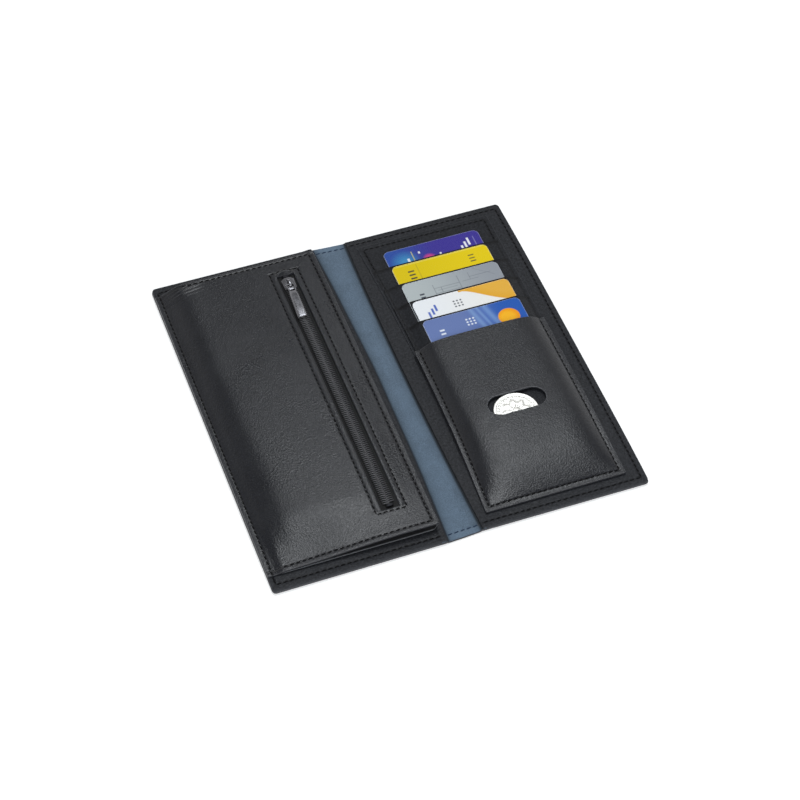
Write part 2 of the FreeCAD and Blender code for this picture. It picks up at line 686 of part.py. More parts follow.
def zip_pull():
    """A pin through the bridge, the ring's two legs and a bevelled tab that widens to its end."""
    pivot_y = plus("dims.slider_y", "dims.pull_pivot")
    ring_end = minus(pivot_y, "dims.pull_ring_length")
    ring_half = "dims.pull_ring_half"
    ring_z = (minus(PIVOT_HEIGHT, "dims.pull_ring_thickness / 2"),
              plus(PIVOT_HEIGHT, "dims.pull_ring_thickness / 2"))
    pin = cylinder("pull_pin", "dims.pull_pin_radius", f"2 * {ring_half}",
                   minus("dims.zip_x", ring_half), pivot_y, PIVOT_HEIGHT)
    pin.Placement.Rotation = FreeCAD.Rotation(FreeCAD.Vector(0, 1, 0), 90)
    legs = []
    for side, at_right in (("left", False), ("right", True)):
        leg_x = zip_span(f"{ring_half} - dims.pull_ring_leg", ring_half, at_right)
        legs.append(box(f"pull_leg_{side}", leg_x, (ring_end, pivot_y), ring_z))
    cross = box("pull_cross", zip_span(f"-{ring_half}", ring_half, True),
                (ring_end, plus(ring_end, "dims.pull_ring_leg")), ring_z)
    body = document.addObject("PartDesign::Body", "pull_tab_bar")
    half_root, half_end = "dims.pull_tab_root / 2", "dims.pull_tab_end / 2"
    tab_end = minus(ring_end, "dims.pull_tab_length")
    corners = [(minus("dims.zip_x", half_root), ring_end), (minus("dims.zip_x", half_end), tab_end),
               (plus("dims.zip_x", half_end), tab_end), (plus("dims.zip_x", half_root), ring_end)]
    floor = minus(PIVOT_HEIGHT, "dims.pull_tab_thickness / 2")
    bar = pad(body, "pull_tab_pad", outline(body, "pull_tab_outline", corners, offset=floor),
              "dims.pull_tab_thickness")
    document.recompute()
    top = bar.Shape.BoundBox.ZMax
    bevelled = [f"Edge{number}" for number, edge in enumerate(bar.Shape.Edges, start=1)
                if all(abs(vertex.Z - top) < 1e-6 for vertex in edge.Vertexes)]
    bevel = body.newObject("PartDesign::Chamfer", "pull_tab_bevels")
    bevel.Base = (bar, bevelled)
    bevel.setExpression("Size", "dims.pull_tab_bevel")
    keep(fuse("pull", pin, *legs, cross, body), "zip_pull_tab")


covers()
cover_stitching()
card_slots()
cards()
coin()
front_pocket_panel()
pocket_stitching()
page_back()
pouch_front()
page_stitching()
zip_fastener()
zip_slider()
zip_pull()
document.recompute()

for feature in document.Objects:
    if {"Invalid", "Error"} & set(feature.State):
        raise RuntimeError(f"{feature.Label} failed: {feature.State}")
for node in nodes:
    if node.Shape.isNull() or not node.Shape.isValid() or not node.Shape.Solids:
        raise RuntimeError(f"{node.Label} has no valid solid")

os.makedirs("parts", exist_ok=True)
for node in nodes:
    node.Shape.exportStep(f"parts/{node.Label}.step")
print(f"{len(nodes)} sub-parts written")
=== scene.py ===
import json
import math

import bpy
import numpy as np
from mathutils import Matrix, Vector


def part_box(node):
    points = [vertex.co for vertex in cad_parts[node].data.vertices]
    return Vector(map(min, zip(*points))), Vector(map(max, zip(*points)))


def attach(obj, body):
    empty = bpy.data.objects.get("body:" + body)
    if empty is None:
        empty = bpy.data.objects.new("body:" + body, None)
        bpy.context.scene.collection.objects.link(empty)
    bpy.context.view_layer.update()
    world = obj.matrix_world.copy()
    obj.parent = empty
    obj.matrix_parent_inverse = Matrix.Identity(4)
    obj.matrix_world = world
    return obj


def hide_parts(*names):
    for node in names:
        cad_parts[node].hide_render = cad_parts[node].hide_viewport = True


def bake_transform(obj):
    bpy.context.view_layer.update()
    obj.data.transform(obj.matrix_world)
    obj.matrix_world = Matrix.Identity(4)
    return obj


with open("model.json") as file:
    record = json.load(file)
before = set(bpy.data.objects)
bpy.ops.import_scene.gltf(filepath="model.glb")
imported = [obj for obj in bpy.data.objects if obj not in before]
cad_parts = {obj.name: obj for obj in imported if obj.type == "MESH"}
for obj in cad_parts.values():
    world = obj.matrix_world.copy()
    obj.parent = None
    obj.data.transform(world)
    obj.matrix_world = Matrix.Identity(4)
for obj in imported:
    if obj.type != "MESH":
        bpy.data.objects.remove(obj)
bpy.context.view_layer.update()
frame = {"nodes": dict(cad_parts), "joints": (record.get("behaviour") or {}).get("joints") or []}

# Everything below is worked out in millimetres and becomes metres where a mesh is made.
MM = 0.001


def span(node):
    """The low and high corner of a CAD node at rest."""
    return tuple(np.array(corner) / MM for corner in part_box(node))


COVER_LOW, COVER_HIGH = span("outer_cover_right")
SIDE, END = COVER_HIGH[0], COVER_HIGH[1]
CREASE = COVER_LOW[0]
PANEL_LOW, PANEL_HIGH = span("inner_panel_right")
POCKET_LOW, POCKET_HIGH = span("card_pocket_backing")
FRONT_LOW, FRONT_HIGH = span("front_pocket_panel")
PAGE_LOW, PAGE_HIGH = span("pouch_front")
ZIP_X = (span("zip_coil_left")[1][0] + span("zip_coil_right")[0][0]) / 2
STOP_FRONT, STOP_BACK = span("zip_bottom_stop"), span("zip_top_stop")
WINDOW_HALF = 4.65
WINDOW = (ZIP_X - WINDOW_HALF, ZIP_X + WINDOW_HALF, STOP_FRONT[0][1] - 0.6, STOP_BACK[1][1])

# How far in from its edge each seam runs.
SEAM_INSET, SEAM_RIGHT, SEAM_ENDS = 2.7, 3.2, 3.6
PAGE_SEAM, PAGE_SEAM_BACK = 2.8, 1.9
POCKET_SEAM = 2.7
WINDOW_SEAM, WINDOW_SEAM_FRONT = 3.2, 1.6
# How far an inner panel's edge lies in from the cover's, and how wide the cover's turned-in hem is.
SETBACK, HEM = 0.3, 5.0
# Where in x the leather would start and stop bending, at each spine crease and at the page's sewn edge;
# they are passed to add_mesh, which bends nothing.
BEND_OUTER, BEND_INNER = 9.8, 7.4
PAGE_BEND = (-94.4, -89.6)


# ---------------------------------------------------------------- shapes

def smooth(t):
    t = np.clip(t, 0, 1)
    return t * t * (3 - 2 * t)


def waves(x, y, size, seed):
    """Gentle unevenness from -1 to 1, with swells about size across."""
    rng = np.random.default_rng(seed)
    total = 0
    for _ in range(7):
        turn, phase, stretch = rng.uniform((0, 0, 0.7), (2 * math.pi, 2 * math.pi, 1.6))
        along = x * math.cos(turn) + y * math.sin(turn)
        total = total + np.sin(along * 2 * math.pi / (size * stretch) + phase)
    return total / 4


def roll(distance, radius):
    """How far a rounded edge drops at a distance in from the edge."""
    near = np.clip(radius - distance, 0, radius)
    return radius - np.sqrt(radius * radius - near * near)


def groove(distance, depth=0.22, width=0.5):
    """The shallow furrow that a seam pulls into leather."""
    return depth * np.exp(-((distance / width) ** 2))


def rim(u, v, x, y, sides="lrfb"):
    """Distance in from the nearest of the named sides: left, right, front and back."""
    distances = {"l": u - x[0], "r": x[1] - u, "f": v - y[0], "b": y[1] - v}
    return np.minimum.reduce([distances[side] for side in sides])


def within(u, v, x, y, **insets):
    """Distance in from a seam that runs at the given inset from each named side, negative outside it."""
    return np.minimum.reduce([rim(u, v, x, y, side) - inset for side, inset in insets.items()])


def seam_shade(distance, depth=0.6):
    """Painted shade: a dark line along a seam's furrow, where the thread sinks into the leather."""
    return depth * np.exp(-((distance / 0.42) ** 2))


def ramp(t, soft=0.12):
    """A straight rise from 0 to 1 with softened ends."""
    return (1 + np.hypot(t, soft) - np.hypot(1 - t, soft)) / 2


def ticks(low, high, step, seams=()):
    """Grid lines from low to high, close together at both edges and round each seam."""
    lines = list(np.linspace(low, high, max(2, int(round((high - low) / step)) + 1)))
    for seam in seams:
        lines += [seam + away for away in (-1.3, -0.65, -0.3, 0, 0.3, 0.65, 1.3)]
    for away in (0.05, 0.15, 0.35, 0.7, 1.2):
        lines += [low + away, high - away]
    lines = sorted(line for line in lines if low <= line <= high)
    kept = [low]
    for line in lines:
        if line - kept[-1] > 0.04:
            kept.append(line)
    kept[-1] = high
    return np.array(kept)


def merged(*lines):
    """Several sets of grid lines as one."""
    return np.unique(np.concatenate(lines))


def beside(centre, half, steps):
    """Grid lines that step outward from both edges of an opening."""
    return [centre + side * (half + step) for side in (-1, 1) for step in steps]


def rounded(x, y, radius, corners):
    """A plan that turns the named corners of a rectangle, each a pair of signs, from square to round."""
    def plan(u, v):
        across, along = np.array(u, float), np.array(v, float)
        for side_x, side_y in corners:
            centre_x = x[1] - radius if side_x > 0 else x[0] + radius
            centre_y = y[1] - radius if side_y > 0 else y[0] + radius
            a, b = (u - centre_x) * side_x, (v - centre_y) * side_y
            inside = (a > 0) & (b > 0)
            shrink = np.maximum(a, b) / (np.hypot(a, b) + 1e-9)
            across = np.where(inside, centre_x + side_x * a * shrink, across)
            along = np.where(inside, centre_y + side_y * b * shrink, along)
        return across, along
    return plan


def add_mesh(name, points, faces, material, body, slot, replaces=(), sharp=40, marks=None, colours=None):
    """A mesh object from points in millimetres. body is a CAD body that the piece follows; given as two
    bodies and where it would bend, it is not used, and the piece stays fixed where it is made.
    """
    mesh = bpy.data.meshes.new(name)
    mesh.from_pydata((np.asarray(points) * MM).tolist(), [], [[int(i) for i in face] for face in faces])
    for label, values in (marks or {}).items():
        attribute = mesh.attributes.new(label, "FLOAT", "POINT")
        attribute.data.foreach_set("value", np.asarray(values, np.float32))
    if colours is not None:
        attribute = mesh.attributes.new("print", "FLOAT_COLOR", "POINT")
        rgba = np.concatenate([colours, np.ones((len(colours), 1))], 1)
        attribute.data.foreach_set("color", rgba.astype(np.float32).ravel())
    mesh.shade_smooth()
    mesh.set_sharp_from_angle(angle=math.radians(sharp))
    mesh.materials.append(material)
    piece = bpy.data.objects.new(name, mesh)
    bpy.context.collection.objects.link(piece)
    if replaces:
        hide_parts(*replaces)
    if isinstance(body, str):
        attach(piece, body)
    else:
        first, second, start, end = body
        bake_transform(piece)
    return piece


def sheet(name, us, vs, top, bottom, plan=None, holes=(), wear_and_highlight=None, shade=None, **finish):
    """A closed sheet over a grid of (u, v): a top and an underside, joined round its rim and its holes.

    plan turns (u, v) into x and y, and top and bottom give the height over each (u, v).
    """
    u, v = np.meshgrid(us, vs, indexing="ij")
    x, y = plan(u, v) if plan else (u, v)
    upper = np.stack([x, y, top(u, v)], -1).reshape(-1, 3)
    lower = np.stack([x, y, bottom(u, v)], -1).reshape(-1, 3)
    middle_u = ((us[1:] + us[:-1]) / 2)[:, None]
    middle_v = ((vs[1:] + vs[:-1]) / 2)[None, :]
    kept = np.ones((len(us) - 1, len(vs) - 1), bool)
    for left, right, front, back in holes:
        kept &= ~((middle_u > left) & (middle_u < right) & (middle_v > front) & (middle_v < back))
    index = np.arange(u.size).reshape(u.shape)
    a, b, c, d = index[:-1, :-1], index[1:, :-1], index[1:, 1:], index[:-1, 1:]
    faces = [np.stack([a[kept], b[kept], c[kept], d[kept]], 1)]
    faces.append(faces[0][:, ::-1] + u.size)
    beyond = np.pad(kept, 1)
    around = ((beyond[1:-1, :-2], a, b), (beyond[2:, 1:-1], b, c),
              (beyond[1:-1, 2:], c, d), (beyond[:-2, 1:-1], d, a))
    for neighbour, start, end in around:
        side = kept & ~neighbour
        start, end = start[side], end[side]
        faces.append(np.stack([end, start, start + u.size, end + u.size], 1))
    faces = np.concatenate(faces)
    used, faces = np.unique(faces, return_inverse=True)
    faces = faces.reshape(-1, 4)
    points = np.concatenate([upper, lower])[used]
    marks = {}
    # Two marks for the material: paler edges, partly wear and partly a painted highlight, and painted
    # shade.
    for label, amount in (("wear_and_highlight", wear_and_highlight), ("shade", shade)):
        values = amount(u, v).reshape(-1) if amount else np.zeros(u.size)
        marks[label] = np.concatenate([values, values])[used]
    return add_mesh(name, points, faces, marks=marks, **finish)


def rings(loops, closed_path=False, cap=True):
    """Faces that join a stack of loops, an array of (loop, point, xyz), and close its two ends."""
    count, size = loops.shape[:2]
    index = np.arange(count * size).reshape(count, size)
    following = np.roll(index, -1, 0) if closed_path else index[1:]
    current = index if closed_path else index[:-1]
    turned, following_turned = np.roll(current, -1, 1), np.roll(following, -1, 1)
    quads = np.stack([current, turned, following_turned, following], -1).reshape(-1, 4)
    faces = [list(quad) for quad in quads]
    if cap and not closed_path:
        faces += [list(index[0][::-1]), list(index[-1])]
    return loops.reshape(-1, 3), faces


def tube(path, width, height, across, around=10, square=1.0, closed=False):
    """A tube along a path; its section is width along the direction across and height at right angles."""
    path = np.asarray(path, float)
    ahead = np.roll(path, -1, 0) - np.roll(path, 1, 0) if closed else np.gradient(path, axis=0)
    ahead /= np.linalg.norm(ahead, axis=1)[:, None]
    across = np.asarray(across, float)
    side = across - (ahead @ across)[:, None] * ahead
    side /= np.linalg.norm(side, axis=1)[:, None]
    up = np.cross(ahead, side)
    turn = np.arange(around) * 2 * math.pi / around
    flat, tall = np.cos(turn), np.sin(turn)
    flat, tall = np.sign(flat) * abs(flat) ** square, np.sign(tall) * abs(tall) ** square
    width = np.broadcast_to(width, len(path))[:, None, None] / 2
    height = np.broadcast_to(height, len(path))[:, None, None] / 2
    loops = (path[:, None] + side[:, None] * flat[None, :, None] * width
             + up[:, None] * tall[None, :, None] * height)
    return rings(loops, closed)


def slab(outline, low, high, bevel, floor_bevel=None):
    """A plate with rounded edges over an outline that runs anticlockwise."""
    outline = np.asarray(outline, float)
    ahead = np.roll(outline, -1, 0) - np.roll(outline, 1, 0)
    inward = np.stack([-ahead[:, 1], ahead[:, 0]], 1)
    inward /= np.linalg.norm(inward, axis=1)[:, None]
    floor_bevel = bevel if floor_bevel is None else floor_bevel
    loops = []
    for size, level, sign in ((floor_bevel, low, 1), (bevel, high, -1)):
        angles = np.linspace(0, math.pi / 2, 5)
        steps = [(size * (1 - math.sin(t)), level + sign * size * (1 - math.cos(t))) for t in angles]
        loops += steps if sign > 0 else steps[::-1]
    stack = [np.concatenate([outline + inward * inset, np.full((len(outline), 1), level)], 1)
             for inset, level in loops]
    return rings(np.array(stack))


def joined(*parts):
    """Several lots of points and faces as one."""
    points, faces, offset = [], [], 0
    for part_points, part_faces in parts:
        points.append(np.asarray(part_points))
        faces += [[int(i) + offset for i in face] for face in part_faces]
        offset += len(part_points)
    return np.concatenate(points), faces


# ---------------------------------------------------------------- materials

def scaled(colour, factor):
    return tuple(c * factor for c in colour)


def srgb(*colour):
    """A colour as it is seen, from 0 to 255, in the linear values that a shader takes."""
    return tuple(c / 255 / 12.92 if c <= 10 else ((c / 255 + 0.055) / 1.055) ** 2.4 for c in colour)


class Graph:
    """A tree of shader nodes being wired up."""

    def __init__(self, tree):
        self.tree = tree

    def node(self, kind, inputs=None, **settings):
        made = self.tree.nodes.new(f"ShaderNode{kind}")
        for setting, value in settings.items():
            setattr(made, setting, value)
        for socket, value in (inputs or {}).items():
            self.feed(value, made.inputs[socket])
        return made

    def feed(self, value, socket):
        if isinstance(value, bpy.types.NodeSocket):
            self.tree.links.new(value, socket)
        else:
            socket.default_value = value

    def maths(self, operation, *values):
        made = self.node("Math", operation=operation)
        for value, socket in zip(values, made.inputs):
            self.feed(value, socket)
        return made.outputs[0]

    def between(self, value, low, high, first, last):
        """The value's span low..high, stretched to first..last."""
        made = self.node("MapRange", {"Value": value, "From Min": low, "From Max": high,
                                      "To Min": first, "To Max": last})
        return made.outputs["Result"]


class Finish(Graph):
    """A procedural material being built: a principled shader and the nodes that feed it."""

    def __init__(self, name, **constants):
        self.material = bpy.data.materials.new(name)
        self.material.use_nodes = True
        super().__init__(self.material.node_tree)
        self.shader = self.tree.nodes["Principled BSDF"]
        for socket, value in constants.items():
            self.shader.inputs[socket.replace("_", " ")].default_value = value
        self.place = self.node("TexCoord").outputs["Object"]

    def stretched(self, scale, turn=0.0):
        mapped = self.node("Mapping", {"Vector": self.place, "Scale": scale, "Rotation": (0, 0, turn)})
        return mapped.outputs["Vector"]

    def noise(self, scale, detail=2.0, rough=0.5, at=None):
        made = self.node("TexNoise", {"Vector": at or self.place, "Scale": scale, "Detail": detail,
                                      "Roughness": rough})
        return made.outputs["Fac"]

    def cells(self, scale, at=None):
        made = self.node("TexVoronoi", {"Vector": at or self.place, "Scale": scale, "Smoothness": 0.35},
                         feature="SMOOTH_F1")
        return made.outputs["Distance"]

    def bands(self, scale, turn=0.0, distortion=0.0):
        made = self.node("TexWave", {"Vector": self.stretched((1, 1, 1), turn), "Scale": scale,
                                     "Distortion": distortion})
        return made.outputs["Fac"]

    def mix(self, amount, first, second):
        made = self.node("Mix", data_type="RGBA")
        self.feed(amount, made.inputs["Factor"])
        for value, socket in ((first, made.inputs[6]), (second, made.inputs[7])):
            self.feed(value if isinstance(value, bpy.types.NodeSocket) else (*value, 1.0), socket)
        return made.outputs[2]

    def mark(self, name, output="Fac"):
        return self.node("Attribute", attribute_name=name).outputs[output]

    def relief(self, height, depth, strength=1.0, under=None):
        """A bump of the given depth in millimetres, over an earlier one if there is one."""
        inputs = {"Height": height, "Distance": depth * MM, "Strength": strength}
        if under is not None:
            inputs["Normal"] = under
        return self.node("Bump", inputs).outputs["Normal"]

    def done(self, colour=None, roughness=None, normal=None):
        for value, socket in ((colour, "Base Color"), (roughness, "Roughness"), (normal, "Normal")):
            if value is not None:
                self.feed(value if not isinstance(value, tuple) else (*value, 1.0),
                          self.shader.inputs[socket])
        return self.material


def leather(name, colour, edge_colour, gloss=0.46, grain=1.0, depth=0.14, shine=0.42, speck=2.3):
    """Fine-grained leather: pebbles and pores, soft patches of tone, edges paler from wear and a painted
    highlight, and painted shade along seams and edges.
    """
    finish = Finish(name, Specular_IOR_Level=shine)
    pebbles = finish.cells(1150 / grain)
    pores = finish.noise(3800 / grain, 3.0, 0.6)
    specks = finish.noise(780 / grain, 3.0, 0.7)
    patches = finish.noise(38, 3.0, 0.55)
    height = finish.maths("ADD", finish.maths("MULTIPLY", pebbles, 0.75),
                          finish.maths("MULTIPLY", pores, 0.5))
    dark, light = scaled(colour, 0.7), scaled(colour, 1.4)
    base = finish.mix(finish.between(patches, 0.3, 0.7, 0.15, 0.85), dark, light)
    base = finish.mix(finish.between(specks, 0.36, 0.64, 0.0, 1.0), scaled(colour, speck), base)
    base = finish.mix(finish.between(pebbles, 0.1, 0.6, 0.0, 0.35), base, dark)
    # Paler edges: partly wear, partly a painted highlight on their rounding.
    base = finish.mix(finish.mark("wear_and_highlight"), base, edge_colour)
    # Painted shade: darker in seam furrows and along edges that lie by other parts.
    base = finish.mix(finish.mark("shade"), base, scaled(colour, 0.25))
    rough = finish.between(finish.maths("ADD", patches, specks), 0.6, 1.4, gloss - 0.1, gloss + 0.12)
    broad = finish.relief(finish.noise(330, 3.0, 0.6), 0.06)
    return finish.done(base, rough, finish.relief(height, depth, under=broad))


def nubuck(name, colour):
    """Soft brushed lining: short fibres that lie every way, with paler and deeper patches."""
    finish = Finish(name, Sheen_Weight=0.25, Sheen_Roughness=0.5, Specular_IOR_Level=0.25)
    fibres = finish.noise(2600, 4.0, 0.65, finish.stretched((1, 0.55, 1), 0.5))
    crossing = finish.noise(2400, 3.0, 0.6, finish.stretched((0.5, 1, 1), -0.35))
    nap = finish.maths("MULTIPLY", finish.maths("ADD", fibres, crossing), 0.5)
    patches = finish.noise(60, 3.0, 0.6)
    dark, light = scaled(colour, 0.6), scaled(colour, 1.42)
    base = finish.mix(finish.between(nap, 0.38, 0.62, 0.0, 1.0), dark, light)
    base = finish.mix(finish.between(finish.noise(330, 3.0, 0.6), 0.35, 0.65, 0.0, 0.3), base, dark)
    base = finish.mix(finish.between(patches, 0.3, 0.7, 0.0, 0.4), base, light)
    # Paler margins: partly wear, partly a painted highlight.
    base = finish.mix(finish.mark("wear_and_highlight"), base, light)
    # Painted shadow along the inner panels' edges.
    base = finish.mix(finish.mark("shade"), base, scaled(colour, 0.12))
    return finish.done(base, finish.between(nap, 0.3, 0.7, 0.78, 0.95), finish.relief(nap, 0.10))


def thread(name, colour):
    """Twisted thread: fine plies across each stitch."""
    finish = Finish(name, Specular_IOR_Level=0.12)
    plies = finish.bands(900, 0.8, 1.0)
    base = finish.mix(plies, scaled(colour, 0.6), scaled(colour, 1.3))
    return finish.done(base, finish.between(plies, 0, 1, 0.6, 0.75), finish.relief(plies, 0.05))


def woven(name, colour):
    """Zip tape: a tight ribbed weave that runs along the tape."""
    finish = Finish(name, Specular_IOR_Level=0.35)
    warp = finish.bands(420, 0.0, 0.4)
    weft = finish.bands(520, math.pi / 2, 0.4)
    weave = finish.maths("MAXIMUM", finish.maths("MULTIPLY", warp, 0.9), weft)
    base = finish.mix(weave, scaled(colour, 0.45), scaled(colour, 1.7))
    return finish.done(base, finish.between(weave, 0, 1, 0.7, 0.85), finish.relief(weave, 0.10))


def nylon(name, colour):
    """Zip coil: drawn nylon with a soft shine, and painted shade on each loop's lower strand."""
    finish = Finish(name, Specular_IOR_Level=0.55)
    drawn = finish.noise(2200, 2.0)
    base = finish.mix(drawn, scaled(colour, 0.7), scaled(colour, 1.5))
    # Painted shade on the lower strands, under the upper ones.
    base = finish.mix(finish.mark("shade"), base, scaled(colour, 0.06))
    return finish.done(base, finish.between(drawn, 0.3, 0.7, 0.3, 0.42), finish.relief(drawn, 0.01))


def plated(name, colour, gloss):
    """Plated metal: a polish with fine scratches and faint clouding."""
    finish = Finish(name, Metallic=1.0)
    scratches = finish.noise(900, 4.0, 0.7, finish.stretched((1, 0.08, 1), 0.3))
    cloud = finish.noise(300, 3.0)
    base = finish.mix(cloud, scaled(colour, 0.94), scaled(colour, 1.05))
    rough = finish.between(finish.maths("ADD", scratches, cloud), 0.7, 1.3, gloss * 0.85, gloss * 1.25)
    return finish.done(base, rough, finish.relief(scratches, 0.0015))


def printed(name):
    """A plastic card: its print under a clear laminate, with a satin speckle."""
    finish = Finish(name, Specular_IOR_Level=0.25, Coat_Weight=0.06, Coat_Roughness=0.1)
    speckle = finish.noise(3200, 2.0)
    base = finish.mix(finish.between(speckle, 0.35, 0.65, 0.0, 0.06), finish.mark("print", "Color"),
                      (0.0, 0.0, 0.0))
    return finish.done(base, finish.between(speckle, 0.3, 0.7, 0.22, 0.32), finish.relief(speckle, 0.006))


def pressed_board(name, colour):
    """Stiffener board: pressed grey-brown fibre."""
    finish = Finish(name, Specular_IOR_Level=0.2)
    fibre = finish.noise(900, 5.0, 0.7, finish.stretched((1, 0.4, 1), 0.4))
    base = finish.mix(finish.between(fibre, 0.35, 0.65, 0, 1), scaled(colour, 0.7), scaled(colour, 1.2))
    return finish.done(base, 0.9, finish.relief(fibre, 0.05))


def coin_metal(name, colour):
    """Struck white metal: bright on the raised work, duller in the field."""
    finish = Finish(name, Metallic=1.0)
    raised = finish.mark("raised")
    grit = finish.noise(2600, 3.0, 0.6)
    base = finish.mix(raised, scaled(colour, 0.78), colour)
    base = finish.mix(finish.between(grit, 0.4, 0.7, 0.0, 0.2), base, scaled(colour, 0.7))
    rough = finish.between(grit, 0.3, 0.7, 0.32, 0.5)
    return finish.done(base, rough, finish.relief(grit, 0.01))


BLACK = srgb(20, 21, 25)
WEAR_AND_HIGHLIGHT_GREY = srgb(74, 75, 80)
M_OUTER = leather("outer_leather", BLACK, WEAR_AND_HIGHLIGHT_GREY, 0.44, 1.1)
M_INNER = leather("inner_leather", srgb(26, 27, 30), WEAR_AND_HIGHLIGHT_GREY, 0.44, 1.0, shine=0.14, speck=3.0)
M_POUCH = leather("pouch_leather", BLACK, WEAR_AND_HIGHLIGHT_GREY, 0.31, 1.0, depth=0.1, shine=0.34)
M_POCKET = leather("pocket_leather", srgb(23, 24, 27), WEAR_AND_HIGHLIGHT_GREY, 0.44, 0.9, shine=0.12, speck=2.8)
M_LINING = leather("pouch_lining", srgb(14, 14, 16), srgb(120, 122, 126), 0.62, 0.8)
M_BLUE = nubuck("blue_lining", srgb(88, 105, 122))
M_THREAD = thread("black_thread", srgb(7, 7, 8))
M_BLUE_THREAD = thread("blue_thread", srgb(48, 62, 82))
M_TAPE = woven("zip_tape", srgb(12, 12, 13))
M_COIL = nylon("zip_coil", srgb(56, 56, 59))
M_METAL = plated("dark_nickel", srgb(120, 120, 124), 0.24)
M_STOP = plated("blackened_stop", srgb(38, 38, 41), 0.42)
M_BOARD = pressed_board("stiffener_board", srgb(120, 114, 104))
M_COIN = coin_metal("coin_metal", srgb(232, 231, 226))


# ---------------------------------------------------------------- covers and spine

def cover_edge(u, v):
    """Distance in from the wallet's outer edge."""
    return np.minimum(SIDE - abs(u), END - abs(v))


def edge_wear_and_highlight(distance, reach=0.5, amount=0.5):
    # How much an edge is paled: partly wear, partly a painted highlight on its rounding.
    return amount * np.exp(-((np.clip(distance, 0, None) / reach) ** 2))


def lengthen(x, y):
    """The zip half is cut a little longer than the card half, and the spine tapers between them."""
    front = np.interp(x, (-98, -10, 0, 10), (2.1, 1.3, 0.75, 0))
    back = np.interp(x, (-98, -10, 0, 10), (1.65, 1.5, 0.75, 0.15))
    swell = 0.7 * (1 - (y / END) ** 4) * smooth((x - 88) / 9)
    return x + swell, y + np.where(y > 0, back, -front) * smooth((abs(y) - 95) / 7)


def then(first, second):
    """One plan after another."""
    return lambda u, v: second(*first(u, v))


CORNERS = [(sx, sy) for sx in (-1, 1) for sy in (-1, 1)]
cover_plan = then(rounded((-SIDE, SIDE), (-END, END), 2.2, CORNERS), lengthen)
HEM_TOP = COVER_HIGH[2]
LEATHER = span("outer_cover_spine")[1][2]


def cover_top(u, v):
    distance = cover_edge(u, v)
    hem = np.where(distance < HEM, HEM_TOP, LEATHER)
    return np.where(abs(u) < CREASE, LEATHER - roll(distance, 0.42), hem - roll(distance, 0.82))


def cover_bottom(u, v):
    distance = cover_edge(u, v)
    radius = np.where(abs(u) < CREASE, 0.42, 0.82)
    seam = within(u, v, (-SIDE, SIDE), (-END, END), l=SEAM_INSET, r=SEAM_RIGHT, f=SEAM_ENDS, b=SEAM_ENDS)
    return roll(distance, radius) + groove(seam, 0.3)


def outside_seam(u, v):
    """Where the outside stitches lie: sunk in their furrow, no lower than the leather beside it."""
    return *lengthen(u, v), cover_bottom(u, v) + 0.1


def crease_ticks(low, high):
    """Close lines where the leather bends."""
    return [side * place for side in (-1, 1) for place in np.arange(6.6, 11.0, 0.4)
            if low < side * place < high]


def outer_leather(side):
    low, high = (0.0, SIDE) if side > 0 else (-SIDE, 0.0)
    name = "right" if side > 0 else "left"
    seam = SIDE - SEAM_RIGHT if side > 0 else SEAM_INSET - SIDE
    us = merged(ticks(low, high, 3.0, [seam, side * (SIDE - HEM)]), crease_ticks(low, high),
                [side * CREASE, side * (CREASE + 0.02)])
    vs = ticks(-END, END, 4.0, [-END + SEAM_ENDS, END - SEAM_ENDS, -END + HEM, END - HEM])
    bend = (f"{name}_cover", "spine", side * BEND_OUTER, side * BEND_INNER)
    covered = [f"outer_cover_{name}"] + (["outer_cover_spine"] if side > 0 else [])
    # Its rim is paled, partly wear and partly a painted highlight.
    sheet(f"outer_leather_{name}", us, vs, cover_top, cover_bottom, cover_plan, material=M_OUTER,
          body=bend, slot="outer_leather", replaces=covered,
          wear_and_highlight=lambda u, v: edge_wear_and_highlight(cover_edge(u, v), 0.9, 0.55))


def right_bow(y):
    """How far the right inner panel's spine edge reaches over the lining."""
    return 1.8 * (1 - (y / END) ** 2)


def left_bow(y):
    """How far the left inner panel's spine edge reaches over the lining."""
    return np.clip(3.0 * (1 - (y / END) ** 2) + 0.35 * waves(0 * y, y, 60, 5), 0, None)


def inner_panel_right():
    x = (PANEL_LOW[0] + 0.7, PANEL_HIGH[0])
    y = (PANEL_LOW[1], PANEL_HIGH[1])
    corners = rounded(x, y, 2.0, [(1, -1), (1, 1)])

    def plan(u, v):
        across, along = corners(u, v)
        return lengthen(across - right_bow(along) * smooth((24 - across) / 14), along)

    def seam(u, v):
        return within(u, v, x, y, r=SEAM_RIGHT - SETBACK, f=SEAM_ENDS - SETBACK, b=SEAM_ENDS - SETBACK)

    def top(u, v):
        swell = 0.10 * waves(u, v, 45, 3) * smooth(rim(u, v, x, y) / 8)
        return PANEL_HIGH[2] - roll(rim(u, v, x, y), 0.36) - groove(seam(u, v)) + swell

    def bottom(u, v):
        return PANEL_LOW[2] + 0.3 * smooth((13.0 - u) / 1.5)

    def shade(u, v):
        # Painted shade along the seam, and a painted shadow along the edge that lies over the lining.
        return np.maximum(seam_shade(seam(u, v)), 0.8 * np.exp(-(((u - x[0]) / 0.6) ** 2)))

    us = ticks(*x, 2.5, [x[1] - SEAM_RIGHT + SETBACK])
    vs = ticks(*y, 3.0, [y[0] + SEAM_ENDS - SETBACK, y[1] - SEAM_ENDS + SETBACK])
    # Its rim is paled, partly wear and partly a painted highlight.
    sheet("inner_panel_leather_right", us, vs, top, bottom, plan, material=M_INNER,
          body=("right_cover", "spine", BEND_OUTER, BEND_INNER), slot="inner_leather",
          replaces=["inner_panel_right"], shade=shade,
          wear_and_highlight=lambda u, v: edge_wear_and_highlight(rim(u, v, x, y), 0.4, 0.35))
    return top


